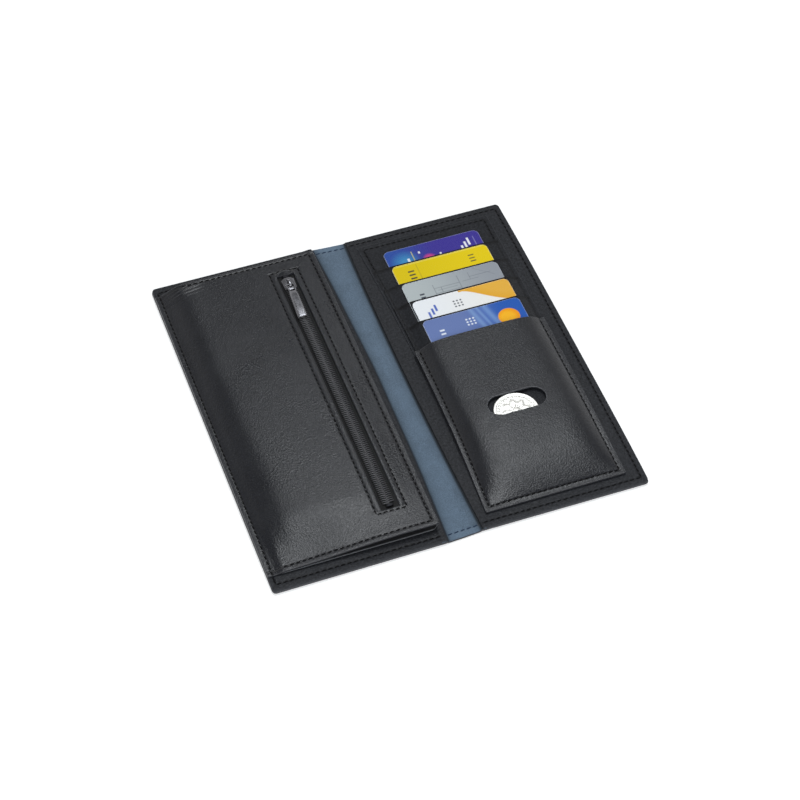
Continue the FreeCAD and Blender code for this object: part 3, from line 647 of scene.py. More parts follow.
def inner_panel_left():
    x = (-PANEL_HIGH[0], -PANEL_LOW[0])
    y = (PANEL_LOW[1], PANEL_HIGH[1])
    corners = rounded(x, y, 2.0, [(-1, -1), (-1, 1)])

    def plan(u, v):
        across, along = corners(u, v)
        return lengthen(across + left_bow(along) * smooth((across + 36) / 27), along)

    def lifted(u):
        return 0.38 * smooth((u + 14.5) / 4)

    def seam(u, v):
        return within(u, v, x, y, l=SEAM_INSET - SETBACK, f=SEAM_ENDS - SETBACK, b=SEAM_ENDS - SETBACK)

    def top(u, v):
        swell = 0.08 * waves(u, v, 45, 4) * smooth(rim(u, v, x, y) / 8)
        return PANEL_HIGH[2] + lifted(u) - roll(rim(u, v, x, y), 0.36) - groove(seam(u, v)) + swell

    def bottom(u, v):
        return PANEL_LOW[2] + lifted(u)

    def shade(u, v):
        # Painted shade along the seam, and a painted shadow along the edge that lies over the lining.
        return np.maximum(seam_shade(seam(u, v)), 0.6 * np.exp(-(((x[1] - u) / 0.4) ** 2)))

    us = merged(ticks(*x, 2.5, [x[0] + SEAM_INSET - SETBACK]), np.arange(-13, -9.2, 0.4))
    vs = ticks(*y, 3.0, [y[0] + SEAM_ENDS - SETBACK, y[1] - SEAM_ENDS + SETBACK])
    # Its rim is paled, partly wear and partly a painted highlight.
    sheet("inner_panel_leather_left", us, vs, top, bottom, plan, material=M_INNER,
          body=("spine", "left_cover", -BEND_INNER, -BEND_OUTER), slot="inner_leather",
          replaces=["inner_panel_left"], shade=shade,
          wear_and_highlight=lambda u, v: edge_wear_and_highlight(rim(u, v, x, y), 0.4, 0.35))
    return top


def spine_lining(side):
    low, high = (0.0, 11.8) if side > 0 else (-11.8, 0.0)
    length = END - SETBACK

    def top(u, v):
        over = 0.27 * smooth((abs(u) - 8.2) / 0.9)
        swell = 0.05 * waves(u, v, 30, 6)
        seam = groove(length - abs(v) - (SEAM_ENDS - SETBACK), 0.2)
        return LEATHER + 0.8 + over + swell - roll(length - abs(v), 0.36) - seam

    def bottom(u, v):
        return LEATHER + 0.82 * smooth((abs(u) - 8.5) / 0.4)

    def shade(u, v):
        """Painted shadow: darker nap along the inner panels' edges, which lie over it."""
        away = np.where(u > 0, 9.6 - right_bow(v) - u, u + 8.9 - left_bow(v))
        return 0.85 * np.exp(-((away - 0.1) / 1.0) ** 2) + 0.34 * np.exp(-((away / 3.4) ** 2))

    us = merged(np.linspace(low, high, 41), crease_ticks(low, high))
    vs = ticks(-length, length, 3.0, [-length + SEAM_ENDS - SETBACK, length - SEAM_ENDS + SETBACK])
    name = "right" if side > 0 else "left"
    # The ends' margins are paled, partly wear and partly a painted highlight.
    sheet(f"spine_lining_{name}", us, vs, top, bottom, lengthen, material=M_BLUE,
          body=(f"{name}_cover", "spine", side * BEND_OUTER, side * BEND_INNER), slot="blue_lining",
          replaces=["spine_lining"], shade=shade,
          wear_and_highlight=lambda u, v: 0.4 * smooth((2.9 - length + abs(v)) / 0.3))
    return top


for side in (1, -1):
    outer_leather(side)
right_top = inner_panel_right()
left_top = inner_panel_left()
lining_top = [spine_lining(side) for side in (1, -1)][0]


# ---------------------------------------------------------------- card pocket

POCKET_X = (POCKET_LOW[0] - 0.8, POCKET_HIGH[0] + 0.8)
POCKET_Y = (POCKET_LOW[1] + 0.2, POCKET_HIGH[1] + 1.0)
pocket_corners = rounded(POCKET_X, POCKET_Y, 1.0, CORNERS)
MARGIN_TOP = POCKET_HIGH[2] + 0.15
FLANGE_TOP = FRONT_LOW[2] + 0.85
# Each card sits a little askew of the one below it, and its leaf's mouth shows as a dark line above it,
# darkened with painted shadow.
STAGGER = ((-1.2, -1.1), (-0.9, 1.0), (-0.7, 1.0), (-0.1, 1.0), (0.0, 0.2))
CARDS = [tuple(corner + (*shift, 0) for corner in span(f"card_{number}"))
         for number, shift in enumerate(STAGGER, 1)]
LEAVES = [span(f"card_slot_leaf_{number}") for number in range(1, 5)] + [span("coin_pocket_leaf")]


def pocket_plan(u, v):
    """The pocket's left edge bows in a little between its corners."""
    across, along = pocket_corners(u, v)
    return across + 2.7 * (1 - (along / POCKET_Y[1]) ** 2) * smooth((27 - across) / 10), along


def pocket_backing():
    def top(u, v):
        distance = rim(u, v, POCKET_X, POCKET_Y)
        level = MARGIN_TOP - 0.15 * smooth((distance - 3.5) / 1.5)
        return level - roll(distance, 0.15) - groove(distance - POCKET_SEAM)

    us = ticks(*POCKET_X, 3.0, [POCKET_X[0] + POCKET_SEAM, POCKET_X[1] - POCKET_SEAM])
    vs = ticks(*POCKET_Y, 3.0, [POCKET_Y[0] + POCKET_SEAM, POCKET_Y[1] - POCKET_SEAM])
    # Its rim is paled, partly wear and partly a painted highlight; its seam gets painted shade.
    sheet("card_pocket_base", us, vs, top, lambda u, v: 0 * u + POCKET_LOW[2], pocket_plan,
          material=M_POCKET, body="right_cover", slot="pocket_leather",
          replaces=["card_pocket_backing"],
          shade=lambda u, v: seam_shade(rim(u, v, POCKET_X, POCKET_Y) - POCKET_SEAM),
          wear_and_highlight=lambda u, v: edge_wear_and_highlight(rim(u, v, POCKET_X, POCKET_Y), 0.35, 0.4))


def pocket_leaf(number):
    """One slot's leaf: flat over the card stack and drawn down to the seam at each side."""
    low, high = LEAVES[number]
    x = (POCKET_X[0] + 1.4, POCKET_X[1] - 1.4)
    y = (low[1], high[1] + (STAGGER[number + 1][1] + 1.1 if number < 4 else 0))
    side_level = MARGIN_TOP + 0.22 * (number + 1)

    def top(u, v):
        rise = ramp((u - 17.6) / 8.8) * ramp((86.4 - u) / 5.4)
        swell = 0.05 * waves(u, v, 25, 20 + number) * (1 - rise)
        return side_level + (high[2] - side_level) * rise + swell - roll(y[1] - v, 0.09)

    us = ticks(*x, 1.6, [POCKET_X[0] + POCKET_SEAM, POCKET_X[1] - POCKET_SEAM])
    vs = ticks(*y, 3.0)
    names = [f"card_slot_leaf_{number + 1}" if number < 4 else "coin_pocket_leaf"]
    if number == 0:
        names += ["slot_gusset_left", "slot_gusset_right"]
    # Painted shade along the seams and a painted shadow along the leaf's mouth by the next card's edge; the
    # mouth's rim is paled, partly wear and partly a painted highlight.
    sheet(f"slot_leaf_leather_{number + 1}", us, vs, top, lambda u, v: top(u, v) - 0.2, pocket_plan,
          material=M_POCKET, body="right_cover", slot="pocket_leather", replaces=names,
          shade=lambda u, v: np.maximum(seam_shade(rim(u, v, POCKET_X, POCKET_Y, "lr") - POCKET_SEAM),
                                        0.8 * smooth((1.6 - y[1] + v) / 0.5)),
          wear_and_highlight=lambda u, v: edge_wear_and_highlight(y[1] - v, 0.12, 0.25))


HOLE_X, HOLE_Y = 52.7, -38.9
HOLE_HALF, HOLE_RADIUS = 15.3, 6.3


def round_hole(u, v):
    """Turns the ends of the rectangular cutout round, fading out into the leather about it."""
    reach = HOLE_HALF - HOLE_RADIUS
    end = np.clip(u - HOLE_X, -reach, reach)
    a, b = u - HOLE_X - end, v - HOLE_Y
    size = np.maximum(abs(a), abs(b))
    shrink = size / (np.hypot(a, b) + 1e-9)
    fade = smooth((size - HOLE_RADIUS) / 9)
    factor = shrink + (1 - shrink) * fade
    return HOLE_X + end + a * factor, HOLE_Y + b * factor


def hole_distance(u, v):
    """Distance out from the cutout's edge."""
    reach = HOLE_HALF - HOLE_RADIUS
    return np.maximum(np.clip(abs(u - HOLE_X) - reach, 0, None), abs(v - HOLE_Y)) - HOLE_RADIUS


def front_panel():
    """The front pocket's leather, drawn up over the cards and the coin from its seam."""
    x, y = POCKET_X, (FRONT_LOW[1], FRONT_HIGH[1])
    crown = FRONT_HIGH[2] + 0.03

    def plan(u, v):
        return pocket_plan(*round_hole(u, v))

    def top(u, v):
        seam_level = FLANGE_TOP + 2.0 * smooth((v + 93) / 55)
        left, right = np.clip((53 - u) / 36.2, 0, 1), np.clip((u - 53) / 33.2, 0, 1)
        rise = (1 - left ** 4.4 - right ** 6.5) * (1 - np.clip((-26 - v) / 68, 0, 1) ** 3.2)
        distance = rim(u, v, x, y, "lrf")
        swell = 0.16 * waves(u, v, 55, 9) * smooth(distance / 12) * smooth((y[1] - v) / 10)
        coin = 0.12 * np.exp(-(((u - 50.4) / 13) ** 4) - ((v + 44.1) / 13) ** 4)
        edge = roll(distance, 0.2) + roll(y[1] - v, 0.22) + roll(hole_distance(u, v), 0.2)
        level = seam_level + (crown - seam_level) * np.clip(rise, 0, 1)
        return level + swell * rise + coin * rise - groove(distance - POCKET_SEAM) - edge

    def bottom(u, v):
        return top(u, v) - 0.55

    steps = (0, 0.1, 0.25, 0.6, 1.2)
    us = merged(ticks(*x, 1.6, [x[0] + POCKET_SEAM, x[1] - POCKET_SEAM]),
                beside(HOLE_X, HOLE_HALF, steps), HOLE_X + np.linspace(-9, 9, 13))
    vs = merged(ticks(*y, 1.8, [y[0] + POCKET_SEAM]),
                beside(HOLE_Y, HOLE_RADIUS, steps), HOLE_Y + np.linspace(-6, 6, 13))
    hole = (HOLE_X - HOLE_HALF, HOLE_X + HOLE_HALF, HOLE_Y - HOLE_RADIUS, HOLE_Y + HOLE_RADIUS)

    def wear_and_highlight(u, v):
        # Paler rims at the sides, the cutout and the mouth: partly wear, partly a painted highlight.
        return (edge_wear_and_highlight(rim(u, v, x, y, "lrf"), 0.35, 0.35) + edge_wear_and_highlight(hole_distance(u, v), 0.3, 0.9)
                + edge_wear_and_highlight(y[1] - v, 0.3, 0.3))

    sheet("front_pocket_leather", us, vs, top, bottom, plan, holes=[hole], material=M_POUCH,
          body="right_cover", slot="inner_leather", replaces=["front_pocket_panel"], wear_and_highlight=wear_and_highlight,
          shade=lambda u, v: seam_shade(rim(u, v, x, y, "lrf") - POCKET_SEAM))
    return top, plan


pocket_backing()
for number in range(5):
    pocket_leaf(number)
panel_top, panel_plan = front_panel()


# ---------------------------------------------------------------- zip pouch

PAGE_X = (span("page_seam_strip")[0][0], PAGE_HIGH[0])
PAGE_Y = (PAGE_LOW[1], PAGE_HIGH[1] + 0.7)
page_corners = rounded(PAGE_X, PAGE_Y, 1.1, [(1, -1), (1, 1)])


def page_plan(u, v):
    across, along = page_corners(u, v)
    right = smooth((across + 30) / 16)
    return across + 0.5 * (1 - (along / 96.8) ** 2) * right, along


def page_edge(u, v):
    """Height of the page's margin: sewn down at the left, free at the right and fanned up at the back."""
    front = 3.35 + 0.95 * smooth((u + 94) / 5) + 3.4 * smooth((u + 91) / 66)
    back = 3.35 + 5.85 * smooth((u + 96.5) / 18)
    return front + (back - front) * smooth((v + 60) / 150)


def window_distance(u, v):
    """Distance out from the zip window's edge."""
    left, right, front, back = WINDOW
    return np.maximum(np.maximum(left - u, u - right), np.maximum(front - v, v - back))


def window_seam(u, v):
    """Distance out from the seam round the zip window."""
    return window_distance(u, v) - np.where(v < WINDOW[2], WINDOW_SEAM_FRONT, WINDOW_SEAM)


def page_inset(u, v):
    return rim(u, v, PAGE_X, PAGE_Y, "rfb")


def pouch_top(u, v):
    edge = page_edge(u, v)
    away = window_distance(u, v)
    crown = PAGE_HIGH[2] + 0.35 - 0.9 * ((v - 5) / 92) ** 2 + 0.15 * waves(u, v, 62, 11) * smooth(away / 14)
    left = 0.75 * ramp((u + 95.0) / 13.5, 0.3) + 0.25 * smooth((u + 97) / 34)
    rise = left * smooth((-11 - u) / 19) * smooth((v + 96) / 30)
    level = edge + (crown - edge) * rise
    folds = np.sin((v - 0.15 * u) * 2.75) * np.exp(-(((u + 80) / 6) ** 2) - ((v - 93) / 3.6) ** 2)
    stop = 1.3 * np.exp(-((v - 87.4 + 0.09 * (u - ZIP_X) ** 2) / 1.3) ** 2 - ((u - ZIP_X) / 4.8) ** 4)
    hem = 0.12 * np.exp(-((away - 1.3) / 1.0) ** 2)
    seams = groove(rim(u, v, PAGE_X, PAGE_Y, "rf") - PAGE_SEAM, 0.25)
    seams = seams + groove(PAGE_Y[1] - v - PAGE_SEAM_BACK, 0.2) * smooth((u + 88) / 8)
    seams = seams + groove(u - (-SIDE + SEAM_INSET), 0.2)
    seams = seams + groove(window_seam(u, v), 0.16)
    level = level + 0.24 * folds + stop + hem - seams
    return level - roll(rim(u, v, PAGE_X, PAGE_Y), 0.3) - roll(away, 0.4)


def pouch_bottom(u, v):
    away = window_distance(u, v)
    thick = 0.6 + 0.25 * smooth((page_inset(u, v) - 3) / 3) + 0.45 * smooth((2.5 - away) / 0.6)
    return pouch_top(u, v) - thick + roll(away, 0.4) * 0.9


def pouch_front():
    steps = (0, 0.06, 0.16, 0.35, 0.8, 1.3, 1.9, 2.5, 2.9, 3.2, 3.5, 3.9)
    front_steps = (0, 0.06, 0.16, 0.35, 0.8, 1.3, 1.6, 1.9, 2.3)
    us = merged(ticks(*PAGE_X, 1.5, [PAGE_X[1] - PAGE_SEAM, -SIDE + SEAM_INSET]),
                beside(ZIP_X, WINDOW_HALF, steps), ZIP_X + np.linspace(-4, 4, 7))
    vs = merged(ticks(*PAGE_Y, 2.2, [PAGE_Y[0] + PAGE_SEAM, PAGE_Y[1] - PAGE_SEAM_BACK]),
                np.arange(84, 97, 0.5), [WINDOW[2] - step for step in front_steps],
                [WINDOW[3] + step for step in steps])

    def wear_and_highlight(u, v):
        # Paler rims at the page's edge and the window: partly wear, partly a painted highlight.
        return (edge_wear_and_highlight(rim(u, v, PAGE_X, PAGE_Y), 0.45, 0.4)
                + edge_wear_and_highlight(window_distance(u, v), 0.3, 0.35))

    def shade(u, v):
        edge = within(u, v, PAGE_X, PAGE_Y, r=PAGE_SEAM, f=PAGE_SEAM, b=PAGE_SEAM_BACK)
        return np.maximum.reduce([seam_shade(edge), seam_shade(u + SIDE - SEAM_INSET),
                                  seam_shade(window_seam(u, v))])

    sheet("pouch_leather", us, vs, pouch_top, pouch_bottom, page_plan, holes=[WINDOW],
          material=M_POUCH, body=("left_cover", "zip_pouch", *PAGE_BEND), slot="inner_leather",
          replaces=["pouch_front", "page_seam_strip"], wear_and_highlight=wear_and_highlight, shade=shade)


def pouch_back():
    x, y = (-88.8, PAGE_X[1] - 0.25), (PAGE_Y[0] + 0.25, PAGE_Y[1] - 0.25)

    def top(u, v):
        under = pouch_bottom(u, v) - 0.03
        inner = np.minimum(5.0, under - 0.25)
        return under + (inner - under) * smooth((rim(u, v, x, y) - 3) / 10)

    us, vs = ticks(*x, 3.0), ticks(*y, 3.0)
    piece = sheet("pouch_back_lining", us, vs, top, lambda u, v: top(u, v) - 0.25,
                  rounded(x, y, 1.6, [(1, -1), (1, 1)]), material=M_LINING, body="zip_pouch",
                  slot="pouch_lining", replaces=["pouch_back"])


def slip_sheet():
    """The thin sheet behind the pouch, turned up at its right edge to the pouch's own edge."""
    section = np.array([(-90.8, 2.72), (-70, 2.75), (-45, 2.82), (-25, 2.9), (-15, 3.0), (-12.2, 3.15),
                        (-10.7, 3.8), (-10.15, 4.8), (-10.0, 6.1)])
    steps = np.concatenate([[0], np.cumsum(np.linalg.norm(np.diff(section, axis=0), axis=1))])
    knots = np.linspace(0, steps[-1], 400)
    line = np.stack([np.interp(knots, steps, section[:, k]) for k in (0, 1)], 1)
    kernel = np.hanning(17) / np.hanning(17).sum()
    soft = np.stack([np.convolve(np.pad(line[:, k], 8, "edge"), kernel, "valid") for k in (0, 1)], 1)
    ahead = np.gradient(soft, axis=0)
    normal = np.stack([-ahead[:, 1], ahead[:, 0]], 1) / np.linalg.norm(ahead, axis=1)[:, None]
    us = merged(np.linspace(0, steps[-1], 40), np.linspace(steps[4], steps[-1], 24))
    end = 96.5
    vs = ticks(-end, end, 4.0)
    u, v = np.meshgrid(us, vs, indexing="ij")
    fold = np.clip((u - steps[5] + 1.5) / (steps[-1] - steps[5]), 0, 1)
    y = np.sign(v) * np.minimum(abs(v), end - 2.6 * fold ** 1.6)
    x0, z0 = np.interp(u, knots, soft[:, 0]), np.interp(u, knots, soft[:, 1])
    nx, nz = np.interp(u, knots, normal[:, 0]), np.interp(u, knots, normal[:, 1])
    half = 0.17
    loops = np.concatenate([np.stack([x0 + nx * half, y, z0 + nz * half], -1),
                            np.stack([x0 - nx * half, y, z0 - nz * half], -1)[:, ::-1]], 1)
    points, faces = rings(loops)
    distance = end - abs(v)
    # Paler cut edge at the ends: partly wear, partly a painted highlight.
    rim_wear_and_highlight = edge_wear_and_highlight(np.concatenate([distance, distance[:, ::-1]], 1), 0.3, 1.0)
    piece = add_mesh("slip_pocket_leather", points, faces, M_LINING, "zip_pouch", "pouch_lining",
                     ["slip_pocket_sheet"], marks={"wear_and_highlight": rim_wear_and_highlight.reshape(-1)})


pouch_front()
pouch_back()
slip_sheet()


# ---------------------------------------------------------------- zip

COIL_LOW, COIL_HIGH = span("zip_coil_left")


def coil(side):
    """One row of the zip: a wound nylon coil whose loops lock into the other row's."""
    pitch, steps = 1.27, 14
    length = COIL_HIGH[1] - COIL_LOW[1] - 0.6
    turns = int(length / pitch)
    angle = np.arange(turns * steps) * 2 * math.pi / steps
    middle = (COIL_LOW[2] + COIL_HIGH[2]) / 2
    x = ZIP_X + side * (1.38 - 1.62 * np.cos(angle))
    z = middle + 0.34 * np.sin(angle) + 0.06 * np.cos(angle)
    y = COIL_LOW[1] + 0.3 + pitch * (angle / (2 * math.pi) + (0.5 if side > 0 else 0))
    thick = 0.56 + 0.14 * smooth((np.cos(angle) - 0.3) / 0.6)
    points, faces = tube(np.stack([x, y, z], 1), thick, thick, (0, 1, 0), around=7)
    # Painted shade mask: 1 on the loops' lower strands, which lie in the upper strands' shade.
    low = smooth((middle + 0.3 - points[:, 2]) / 0.3)
    name = "right" if side > 0 else "left"
    add_mesh(f"zip_coil_loops_{name}", points, faces, M_COIL, "zip_pouch", "zip_coil",
             [f"zip_coil_{name}"], sharp=70, marks={"shade": low})


def stop(name, box, node):
    """A crimped stop across both rows: a rounded staple with a waist."""
    low, high = box
    y = np.linspace(low[1], high[1], 9)
    t = np.linspace(-1, 1, 9)
    width = (high[0] - low[0]) * (0.88 + 0.12 * t ** 2)
    height = (high[2] - low[2]) * (1 - 0.35 * t ** 4)
    path = np.stack([np.full(9, ZIP_X), y, np.full(9, (low[2] + high[2]) / 2)], 1)
    points, faces = tube(path, width, height, (1, 0, 0), around=16, square=0.55)
    add_mesh(name, points, faces, M_STOP, "zip_pouch", "dark_nickel", [node], sharp=50)


for side in (1, -1):
    coil(side)
stop("zip_stop_front", STOP_FRONT, "zip_bottom_stop")
stop("zip_stop_back", STOP_BACK, "zip_top_stop")

SLIDER_LOW, SLIDER_HIGH = span("zip_slider_body")
SLIDER_Y = (SLIDER_LOW[1] + SLIDER_HIGH[1]) / 2


def slider_outline(grow=0.0, count=44):
    """The slider's plan: two round shoulders at the nose, drawn in to a narrower tail."""
    t = np.arange(count) * 2 * math.pi / count
    y = np.sin(t)
    x = np.sign(np.cos(t)) * abs(np.cos(t)) ** 0.72
    half = 3.12 + 0.55 * smooth((y + 0.15) / 0.75) - 0.15 * np.exp(-((y + 0.05) / 0.35) ** 2)
    return np.stack([ZIP_X + x * (half + grow), SLIDER_Y + y * (4.6 + grow)], 1)


def slider():
    base = slab(slider_outline(-0.15), SLIDER_LOW[2] + 0.02, SLIDER_LOW[2] + 0.68, 0.2)
    roof = slab(slider_outline(), SLIDER_HIGH[2] - 0.72, SLIDER_HIGH[2], 0.34, 0.1)
    neck = tube([(ZIP_X, SLIDER_Y + y, SLIDER_HIGH[2] - 1.7) for y in (2.2, 2.9, 3.6, 4.2)],
                (0.3, 0.55, 0.6, 0.5), 2.2, (1, 0, 0), 8)
    lips = []
    for side in (-1, 1):
        t = np.linspace(0, 1, 9)
        x = ZIP_X + side * (2.92 + 0.3 * smooth(t * 1.2))
        y = SLIDER_Y - 3.6 + 7.2 * t
        path = np.stack([x, y, np.full(9, SLIDER_HIGH[2] - 1.1)], 1)
        lips.append(tube(path, 0.45, 1.15, (1, 0, 0), 8, 0.7))
    add_mesh("zip_slider_metal", *joined(base, roof, neck, *lips), M_METAL, "zip_slider",
             "dark_nickel", ["zip_slider_body"], sharp=38)
    low, high = span("zip_slider_bridge")
    t = np.linspace(0, math.pi, 25)
    y = (low[1] + high[1]) / 2 - np.cos(t) * (high[1] - low[1] - 0.8) / 2
    lift = abs(np.sin(t)) ** 0.6
    z = low[2] - 0.25 + lift * (high[2] - low[2] - 0.15)
    path = np.stack([np.full(25, ZIP_X), y, z], 1)
    width = 1.75 - 0.45 * lift
    add_mesh("zip_slider_arch", *tube(path, width, 0.72, (1, 0, 0), 14, 0.75), M_METAL, "zip_slider",
             "dark_nickel", ["zip_slider_bridge"], sharp=50)


def pull():
    """The pull: a rounded ring and a bar bevelled along both sides, hanging a little askew."""
    low, high = span("zip_pull_tab")
    joint = next(j for j in frame["joints"] if j["name"] == "pull_tab_swing")
    pivot = np.array(joint["pos_m"]) / MM
    ring_end = -5.5
    t = np.linspace(0, 2 * math.pi, 40, endpoint=False)
    ring_x = 1.85 * np.sign(np.cos(t)) * abs(np.cos(t)) ** 0.42
    ring_y = ring_end / 2 + 0.1 + (-ring_end / 2 + 0.1) * np.sign(np.sin(t)) * abs(np.sin(t)) ** 0.55
    ring = tube(np.stack([ring_x, ring_y, 0 * t], 1), 0.8, 0.85, (0, 0, 1), 10, 0.8, closed=True)
    length = pivot[1] - low[1] + 1.0
    rows = []
    for y, half, rise in ((ring_end + 0.45, 1.6, 0.35), (ring_end - 0.1, 2.05, 0.6),
                          (-8.0, 2.2, 0.7), (-length + 0.9, 2.5, 0.7), (-length + 0.35, 2.5, 0.62),
                          (-length, 2.3, 0.25)):
        slope = 1.05 if rise > 0.4 else 0.7
        row = [(-half, -rise * 0.75), (-half, rise * 0.1), (-half + slope, rise),
               (half - slope * 0.55, rise), (half, rise * 0.35), (half, -rise * 0.75)]
        rows.append([(x, y, z) for x, z in row])
    bar = rings(np.array(rows)[:, ::-1])
    points, faces = joined(ring, bar)
    askew = math.radians(-2.5)
    turned = np.array(points)
    turned[:, 0] = points[:, 0] * math.cos(askew) - points[:, 1] * math.sin(askew)
    turned[:, 1] = points[:, 0] * math.sin(askew) + points[:, 1] * math.cos(askew)
    piece = add_mesh("zip_pull_bar", turned + pivot, faces, M_METAL, "pull_tab", "dark_nickel",
                     ["zip_pull_tab"], sharp=28)
    bevel = piece.modifiers.new("edges", "BEVEL")
    bevel.width = 0.12 * MM
    bevel.segments = 2
    bevel.limit_method = "ANGLE"
    bevel.angle_limit = math.radians(28)


slider()
pull()


# ---------------------------------------------------------------- cards and coin

class Face:
    """A card's printed face, laid down in layers; x and y run from the middle of its far edge."""

    def __init__(self, x, y, first, last, low, high):
        self.x, self.y = x, y
        t = smooth((x - low) / (high - low))[..., None]
        self.colours = np.array(srgb(*first)) * (1 - t) + np.array(srgb(*last)) * t

    def lay(self, mask, colour, amount=1.0):
        mask = np.clip(mask, 0, 1)[..., None] * amount
        self.colours = self.colours * (1 - mask) + np.array(srgb(*colour)) * mask

    def disc(self, cx, cy, radius, colour, amount=1.0, soft=0.25):
        self.lay((radius - np.hypot(self.x - cx, self.y - cy)) / soft + 0.5, colour, amount)

    def dots(self, left, top, colour):
        """A square of nine dots."""
        for row in range(3):
            for column in range(3):
                self.disc(left + 1.9 * column, top - 1.9 * row, 0.55, colour)

    def bars(self, places, size, colour, amount=1.0, turn=0.0):
        """Plain marks of one size, one at each place."""
        for cx, cy in places:
            a = (self.x - cx) * math.cos(turn) + (self.y - cy) * math.sin(turn)
            b = -(self.x - cx) * math.sin(turn) + (self.y - cy) * math.cos(turn)
            inside = np.minimum(size[0] / 2 - abs(a), size[1] / 2 - abs(b))
            self.lay(inside / 0.22 + 0.5, colour, amount)


def print_1(x, y):
    face = Face(x, y, (46, 80, 162), (62, 52, 148), -24, 2)
    face.disc(-17, -10.5, 5.2, (70, 168, 210), 0.6, 7)
    face.disc(-4.0, -12.0, 3.0, (222, 70, 140), 0.85, 2)
    face.bars([(-12.2, -9.5)], (0.45, 11), (206, 196, 120), 0.9)
    face.bars([(-17, -12.5), (-15.2, -9.8)], (1.3, 2.6), (226, 232, 240))
    face.bars([(-8.2, -6.0), (-1.5, -11.8), (2.6, -10.5)], (1.0, 1.6), (232, 232, 240))
    face.bars([(15.2, -11.5), (17.4, -9.2), (19.6, -6.9)], (1.2, 5.4), (240, 240, 246))
    face.bars([(23.0, -8.0)], (0.4, 8.0), (150, 148, 200), 0.7)
    return face


def print_2(x, y):
    face = Face(x, y, (224, 198, 0), (236, 208, 6), -27, 27)
    face.bars([(-13.6, -8.5)], (0.35, 13), (176, 158, 34), 0.8)
    face.bars([(-17.6, -6.2), (-17.6, -8.8), (-17.6, -11.4)], (3.4, 1.1), (84, 78, 50))
    face.bars([(16.4, -5.4), (16.4, -7.6), (16.4, -9.8)], (3.2, 0.8), (110, 102, 48))
    face.bars([(0, -0.9)], (50, 0.5), (238, 226, 120), 0.6)
    return face


def print_3(x, y):
    face = Face(x, y, (182, 190, 191), (150, 155, 163), -27, 27)
    for cx, cy, *size in ((-4, -8.4, 14, 0.3), (-4, -12.2, 14, 0.3), (-11, -9.5, 0.3, 8),
                          (3.2, -8.8, 0.3, 11), (9.5, -8.2, 9, 0.25), (9.5, -5.6, 0.25, 5),
                          (-3.8, -10.2, 11, 0.25), (15.5, -6.2, 12, 0.2), (-7.2, -10.2, 0.25, 3.6)):
        face.bars([(cx, cy)], size, (104, 108, 116), 0.75)
    face.bars([(-18.4, -10.2), (-18.4, -12.6)], (2.6, 1.1), (70, 74, 84))
    face.bars([(18, -5)], (0.25, 13), (112, 116, 124), 0.5, 0.9)
    return face


def print_4(x, y):
    face = Face(x, y, (240, 243, 247), (244, 242, 236), -27, 27)
    curve = -1.5 - 13.5 * smooth((x - 1) / 26) ** 0.75
    gold = np.clip((y - curve) / 0.3, 0, 1) * smooth((x + 1.2) / 0.5)
    face.lay(gold, (232, 170, 44))
    face.lay(gold * np.clip((y - curve) / 6, 0, 1), (238, 186, 78), 0.6)
    face.dots(-5.6, -6.6, (96, 98, 106))
    face.bars([(-20.4, -11.8), (-18.2, -9.8), (-16.0, -7.8)], (1.2, 4.6), (86, 110, 190))
    return face


def print_5(x, y):
    face = Face(x, y, (104, 124, 178), (34, 90, 180), -8, 18)
    for place, width in ((1.5, 1.4), (5.0, 0.9), (9.0, 1.8)):
        face.lay(np.exp(-((x - place + 0.25 * (y + 7)) / width) ** 2), (150, 188, 232), 0.4)
    face.disc(17.6, -11.6, 5.7, (250, 158, 6))
    face.disc(16.8, -11.8, 4.4, (255, 186, 26), soft=2.5)
    face.dots(-4.4, -6.4, (232, 238, 248))
    face.bars([(-18.8, -9.4), (-18.8, -11.9)], (2.6, 1.1), (232, 238, 248))
    return face


def card(number, artwork):
    """A plastic card with rounded corners and softened edges, printed on its top."""
    low, high = CARDS[number]
    middle, end = (low[0] + high[0]) / 2, high[1]
    x, y = (low[0], high[0]), (low[1], high[1])
    us = merged(np.linspace(*x, 181), [x[0] + 0.08, x[1] - 0.08])
    vs = merged(np.linspace(end - 16, end, 55), np.linspace(low[1], end - 16, 36),
                [y[0] + 0.08, y[1] - 0.08])
    plan = rounded(x, y, 3.18, CORNERS)
    u, v = np.meshgrid(us, vs, indexing="ij")
    across, along = plan(u, v)
    drop = roll(rim(u, v, x, y), 0.1)
    face = artwork(across - middle, along - end)
    face.lay(1 - rim(u, v, x, y) / 0.35, (214, 220, 230), 0.55)
    upper = np.stack([across, along, high[2] - drop], -1)
    lower = np.stack([across, along, low[2] + drop], -1)
    index = np.arange(u.size).reshape(u.shape)
    a, b, c, d = index[:-1, :-1], index[1:, :-1], index[1:, 1:], index[:-1, 1:]
    top = np.stack([a, b, c, d], -1).reshape(-1, 4)
    border = np.concatenate([index[:, 0], index[-1, 1:], index[-2::-1, -1], index[0, -2:0:-1]])
    following = np.roll(border, -1)
    walls = np.stack([following, border, border + u.size, following + u.size], 1)
    faces = np.concatenate([top, top[:, ::-1] + u.size, walls])
    white = np.broadcast_to(np.array(srgb(222, 224, 228)), (u.size, 3))
    add_mesh(f"printed_card_{number + 1}", np.concatenate([upper.reshape(-1, 3), lower.reshape(-1, 3)]),
             faces, printed(f"card_{number + 1}_print"), f"card_{number + 1}",
             f"card_{number + 1}_plastic", [f"card_{number + 1}"],
             colours=np.concatenate([face.colours.reshape(-1, 3), white]))


for number, artwork in enumerate((print_1, print_2, print_3, print_4, print_5)):
    card(number, artwork)


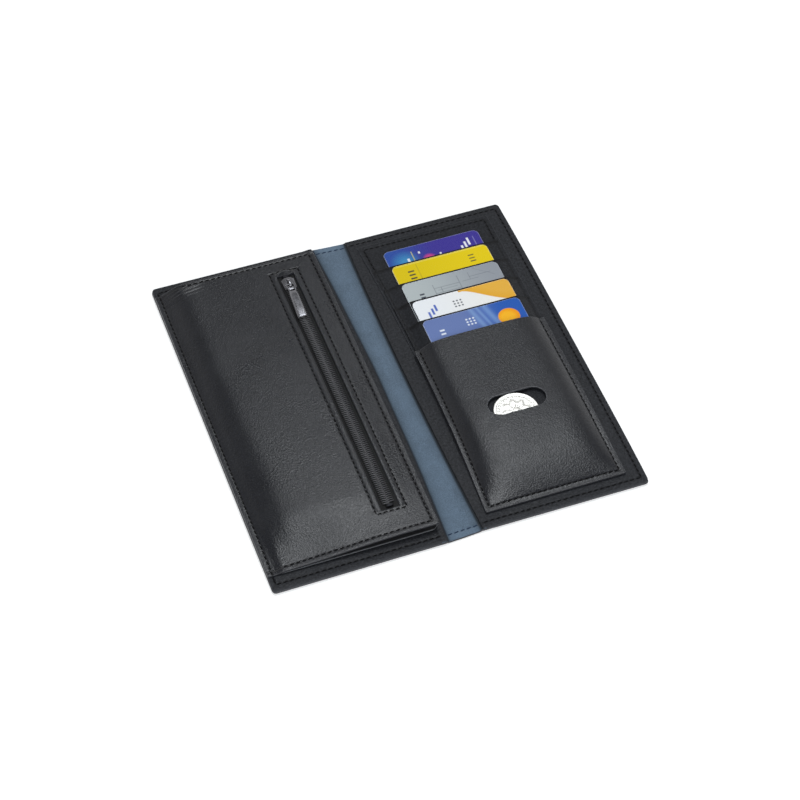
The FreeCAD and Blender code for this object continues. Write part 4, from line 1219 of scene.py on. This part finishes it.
def coin():
    """A struck coin: milled edge, raised rim, a ring of beads and a plain eight-petalled rosette."""
    low, high = span("coin")
    centre, radius = (low + high) / 2, (high[0] - low[0]) / 2
    segments = 240
    turn = np.arange(segments) * 2 * math.pi / segments
    reach = np.array([0.02, 0.6, 1.2, 1.8, 2.4, 3.0, 3.6, 4.2, 4.8, 5.4, 6.0, 6.6, 7.2, 7.8, 8.2, 8.45,
                      8.7, 8.95, 9.2, 9.45, 9.8, 10.15, 10.35, 10.5, 11.0, 11.3, 11.45])
    r, t = np.meshgrid(reach, turn, indexing="ij")
    petals = smooth((0.35 + 0.65 * np.cos(4 * t) ** 2 - abs(r - 4.4) / 3.2) / 0.35)
    petals = petals * smooth((r - 1.3) / 0.5)
    boss = smooth((1.5 - r) / 0.4)
    beads = smooth((np.cos(30 * t) + 0.2) / 0.8) * smooth((0.55 - abs(r - 8.95)) / 0.4)
    border = smooth((r - 10.1) / 0.3)
    raised = np.clip(0.75 * petals + 0.75 * boss + 0.6 * beads + border, 0, 1)
    face = high[2] - 0.34 + 0.34 * raised - roll(radius - r, 0.25)
    upper = np.stack([centre[0] + r * np.cos(t), centre[1] + r * np.sin(t), face], -1)
    mill = radius - 0.06 * (np.arange(segments) % 2)
    wall = [np.stack([centre[0] + mill * np.cos(turn), centre[1] + mill * np.sin(turn),
                      np.full(segments, z)], -1) for z in (high[2] - 0.28, low[2] + 0.28)]
    lower = upper[::-1].copy()
    lower[..., 2] = low[2] + high[2] - lower[..., 2]
    loops = np.concatenate([upper, wall, lower])[::-1]
    points, faces = rings(loops)
    edge = np.ones((2, segments))
    marks = {"raised": np.concatenate([raised, edge, raised[::-1]])[::-1].reshape(-1)}
    add_mesh("struck_coin", points, faces, M_COIN, "coin", "coin_metal", ["coin"], sharp=50, marks=marks)


coin()


# ---------------------------------------------------------------- seams

# From one stitch to the next, and how thick the thread is.
STITCH, THREAD = 3.2, 0.68


def stitches(name, runs, surface, body, replaces=(), side=1, material=M_THREAD, slot="black_thread"):
    """A lockstitch seam: single slanted stitches along each run, their ends pulled into the leather."""
    t = np.linspace(0, 1, 7)
    bend = (2 * t - 1) ** 4
    turn = np.arange(8) * math.pi / 4
    parts = []
    for (u0, v0), (u1, v1) in runs:
        count = max(1, round(math.hypot(u1 - u0, v1 - v0) / STITCH))
        along = (np.arange(count)[:, None] + 0.09 + 0.82 * t[None, :]) / count
        x, y, z = surface(u0 + (u1 - u0) * along, v0 + (v1 - v0) * along)
        centre = np.stack([x, y, z], -1)
        ahead = np.gradient(centre, axis=1)
        ahead /= np.linalg.norm(ahead, axis=2)[..., None]
        across = np.stack([-ahead[..., 1], ahead[..., 0], np.zeros_like(x)], -1)
        up = np.cross(ahead, across) * side
        slant = 0.16 * (2 * t - 1)
        lift = 0.13 - 0.42 * bend
        centre = centre + across * slant[None, :, None] + up * lift[None, :, None]
        half = THREAD / 2 * (1 - 0.35 * bend)
        loops = (centre[:, :, None]
                 + across[:, :, None] * (np.cos(turn)[None, None] * half[None, :, None])[..., None]
                 + up[:, :, None] * (np.sin(turn)[None, None] * half[None, :, None] * 0.75)[..., None])
        if side < 0:
            loops = loops[:, :, ::-1]
        parts += [rings(one) for one in loops]
    add_mesh(name, *joined(*parts), material, body, slot, replaces, sharp=80)


def on(top, plan):
    """A surface for stitches: where a point of the grid lies on a sheet."""
    def surface(u, v):
        x, y = plan(u, v)
        return x, y, top(u, v)
    return surface


def ends(left, right, y):
    """A seam's two runs along the ends, from left to right."""
    return [((left, end), (right, end)) for end in (y, -y)]


def three_sides(outer, inner, y):
    """A seam's run down the outer edge and its two along the ends."""
    return [((outer, y), (outer, -y))] + ends(min(outer, inner), max(outer, inner), y)


def left_surface(u, v):
    """The left outer seam lies on the page, and past the page's ends on the inner panel."""
    on_page = (u < -94) & (abs(v) < PAGE_Y[1])
    level = np.where(on_page, pouch_top(np.minimum(u, -94.5), v), left_top(u, v))
    return *lengthen(u, v), level


def cover_seams():
    left_x, right_x, line_y = SEAM_INSET - SIDE, SIDE - SEAM_RIGHT, END - SEAM_ENDS
    stitches("cover_stitches_right", three_sides(right_x, 11.0, line_y), on(right_top, lengthen),
             "right_cover", ["cover_seam_right"])
    stitches("cover_stitches_left", three_sides(left_x, -11.0, line_y), left_surface,
             "left_cover", ["cover_seam_left"])
    stitches("spine_stitches", ends(-8.0, 8.6, line_y), on(lining_top, lengthen), "spine",
             ["spine_seam"], material=M_BLUE_THREAD, slot="blue_thread")
    for name, outer, inner in (("right", right_x, 10.2), ("left", left_x, -10.2)):
        stitches(f"outside_stitches_{name}", three_sides(outer, inner, -line_y), outside_seam,
                 f"{name}_cover", side=-1)
    stitches("outside_stitches_spine", ends(-7.6, 7.6, -line_y), outside_seam, "spine", side=-1)


def pocket_seam():
    left, right = POCKET_X[0] + POCKET_SEAM, POCKET_X[1] - POCKET_SEAM
    front, back = POCKET_Y[0] + POCKET_SEAM, POCKET_Y[1] - POCKET_SEAM
    mouth = FRONT_HIGH[1]

    def upper(u, v):
        level = MARGIN_TOP - 0.28
        for _, high in LEAVES:
            level = level + np.where(v < high[1], 0.22, 0)
        return *pocket_plan(u, v), level + 0 * u

    runs = [((left, back), (right, back)), ((left, back), (left, mouth)), ((right, back), (right, mouth))]
    stitches("pocket_stitches_upper", runs, upper, "right_cover", ["card_pocket_seam"])
    runs = [((left, mouth - 1.0), (left, front)), ((right, mouth - 1.0), (right, front)),
            ((left, front), (right, front))]
    stitches("pocket_stitches_lower", runs, on(panel_top, panel_plan), "right_cover")


def pouch_seams():
    right, front, back = PAGE_X[1] - PAGE_SEAM, PAGE_Y[0] + PAGE_SEAM, PAGE_Y[1] - PAGE_SEAM_BACK
    surface = on(pouch_top, page_plan)
    runs = [((right, back), (right, front)), ((-89.5, front), (right, front)), ((-84, back), (right, back))]
    stitches("page_stitches", runs, surface, "zip_pouch", ["pouch_seam"])
    left, right = WINDOW[0] - WINDOW_SEAM, WINDOW[1] + WINDOW_SEAM
    front, back = WINDOW[2] - WINDOW_SEAM_FRONT, WINDOW[3] + WINDOW_SEAM
    runs = [((left, back), (left, front)), ((right, back), (right, front)),
            ((left, front), (right, front)), ((left, back), (right, back))]
    stitches("window_stitches", runs, surface, "zip_pouch", ["zip_window_seam"])


cover_seams()
pocket_seam()
pouch_seams()

for node, material in (("zip_tape_left", M_TAPE), ("zip_tape_right", M_TAPE),
                       ("stiffener_board_left", M_BOARD), ("stiffener_board_right", M_BOARD),
                       *((f"slot_floor_seam_{number}", M_POCKET) for number in range(1, 6))):
    carried = frame["nodes"][node]
    carried.data.materials.clear()
    carried.data.materials.append(material)


# ---------------------------------------------------------------- floor, light and camera

def studio():
    """A white floor that keeps the wallet's shadow, and a pale surround."""
    reach = 6.0
    mesh = bpy.data.meshes.new("floor")
    mesh.from_pydata([(-reach, -reach, 0), (reach, -reach, 0), (reach, reach, 0), (-reach, reach, 0)],
                     [], [(0, 1, 2, 3)])
    floor = bpy.data.objects.new("floor", mesh)
    floor.location.z = -0.0002
    bpy.context.collection.objects.link(floor)
    finish = Finish("floor", Base_Color=(0.80, 0.80, 0.80, 1), Roughness=0.9, Specular_IOR_Level=0.1,
                    Emission_Color=(1, 1, 1, 1))
    rays = finish.node("LightPath").outputs
    seen = finish.maths("MAXIMUM", rays["Is Camera Ray"], rays["Is Glossy Ray"])
    seen = finish.maths("MAXIMUM", seen, rays["Is Transmission Ray"])
    finish.feed(finish.maths("MULTIPLY", seen, 0.42), finish.shader.inputs["Emission Strength"])
    mesh.materials.append(finish.material)

    world = bpy.data.worlds.new("studio")
    bpy.context.scene.world = world
    world.use_nodes = True
    sky = Graph(world.node_tree)
    # White round the horizon and a dimmer ceiling, as seen in polished and clear things.
    direction = sky.node("TexCoord").outputs["Generated"]
    height = sky.node("SeparateXYZ", {"Vector": direction}).outputs["Z"]
    wall = sky.between(height, 0.45, 0.68, 1.0, 0.0)
    rays = sky.node("LightPath").outputs
    mirrored = sky.maths("MAXIMUM", rays["Is Glossy Ray"], rays["Is Transmission Ray"])
    white = sky.maths("MAXIMUM", rays["Is Camera Ray"], sky.maths("MULTIPLY", mirrored, wall))
    background = sky.tree.nodes["Background"]
    background.inputs["Color"].default_value = (1, 1, 1, 1)
    sky.feed(sky.between(white, 0.0, 1.0, 0.2, 1.0), background.inputs["Strength"])


DAYLIGHT = (0.94, 0.975, 1.0)


def lamp(name, place, target, size, power):
    light = bpy.data.lights.new(name, "AREA")
    light.shape = "RECTANGLE"
    light.size, light.size_y = size
    light.energy = power
    light.color = DAYLIGHT
    holder = bpy.data.objects.new(name, light)
    holder.location = place
    holder.rotation_euler = (Vector(target) - Vector(place)).to_track_quat("-Z", "Y").to_euler()
    bpy.context.collection.objects.link(holder)


def photo_camera():
    azimuth, elevation, distance = math.radians(19.78), math.radians(49.08), 1.248
    target = Vector((0.0005, -0.0101, 0.0))
    ahead = Vector((math.sin(azimuth) * math.cos(elevation), math.cos(azimuth) * math.cos(elevation),
                    -math.sin(elevation)))
    camera = bpy.data.cameras.new("camera")
    camera.sensor_width = 36
    camera.lens = 110.34
    camera.clip_start, camera.clip_end = 0.05, 50
    holder = bpy.data.objects.new("camera", camera)
    holder.location = target - ahead * distance
    holder.rotation_euler = ahead.to_track_quat("-Z", "Y").to_euler()
    bpy.context.collection.objects.link(holder)
    bpy.context.scene.camera = holder


studio()
lamp("key", (0.2, 0.44, 1.4), (0, 0, 0), (0.5, 0.75), 11.6)
lamp("fill", (-0.2, -1.1, 0.9), (0, 0, 0), (1.2, 0.9), 11)
photo_camera()
bpy.context.scene.view_settings.view_transform = "Standard"
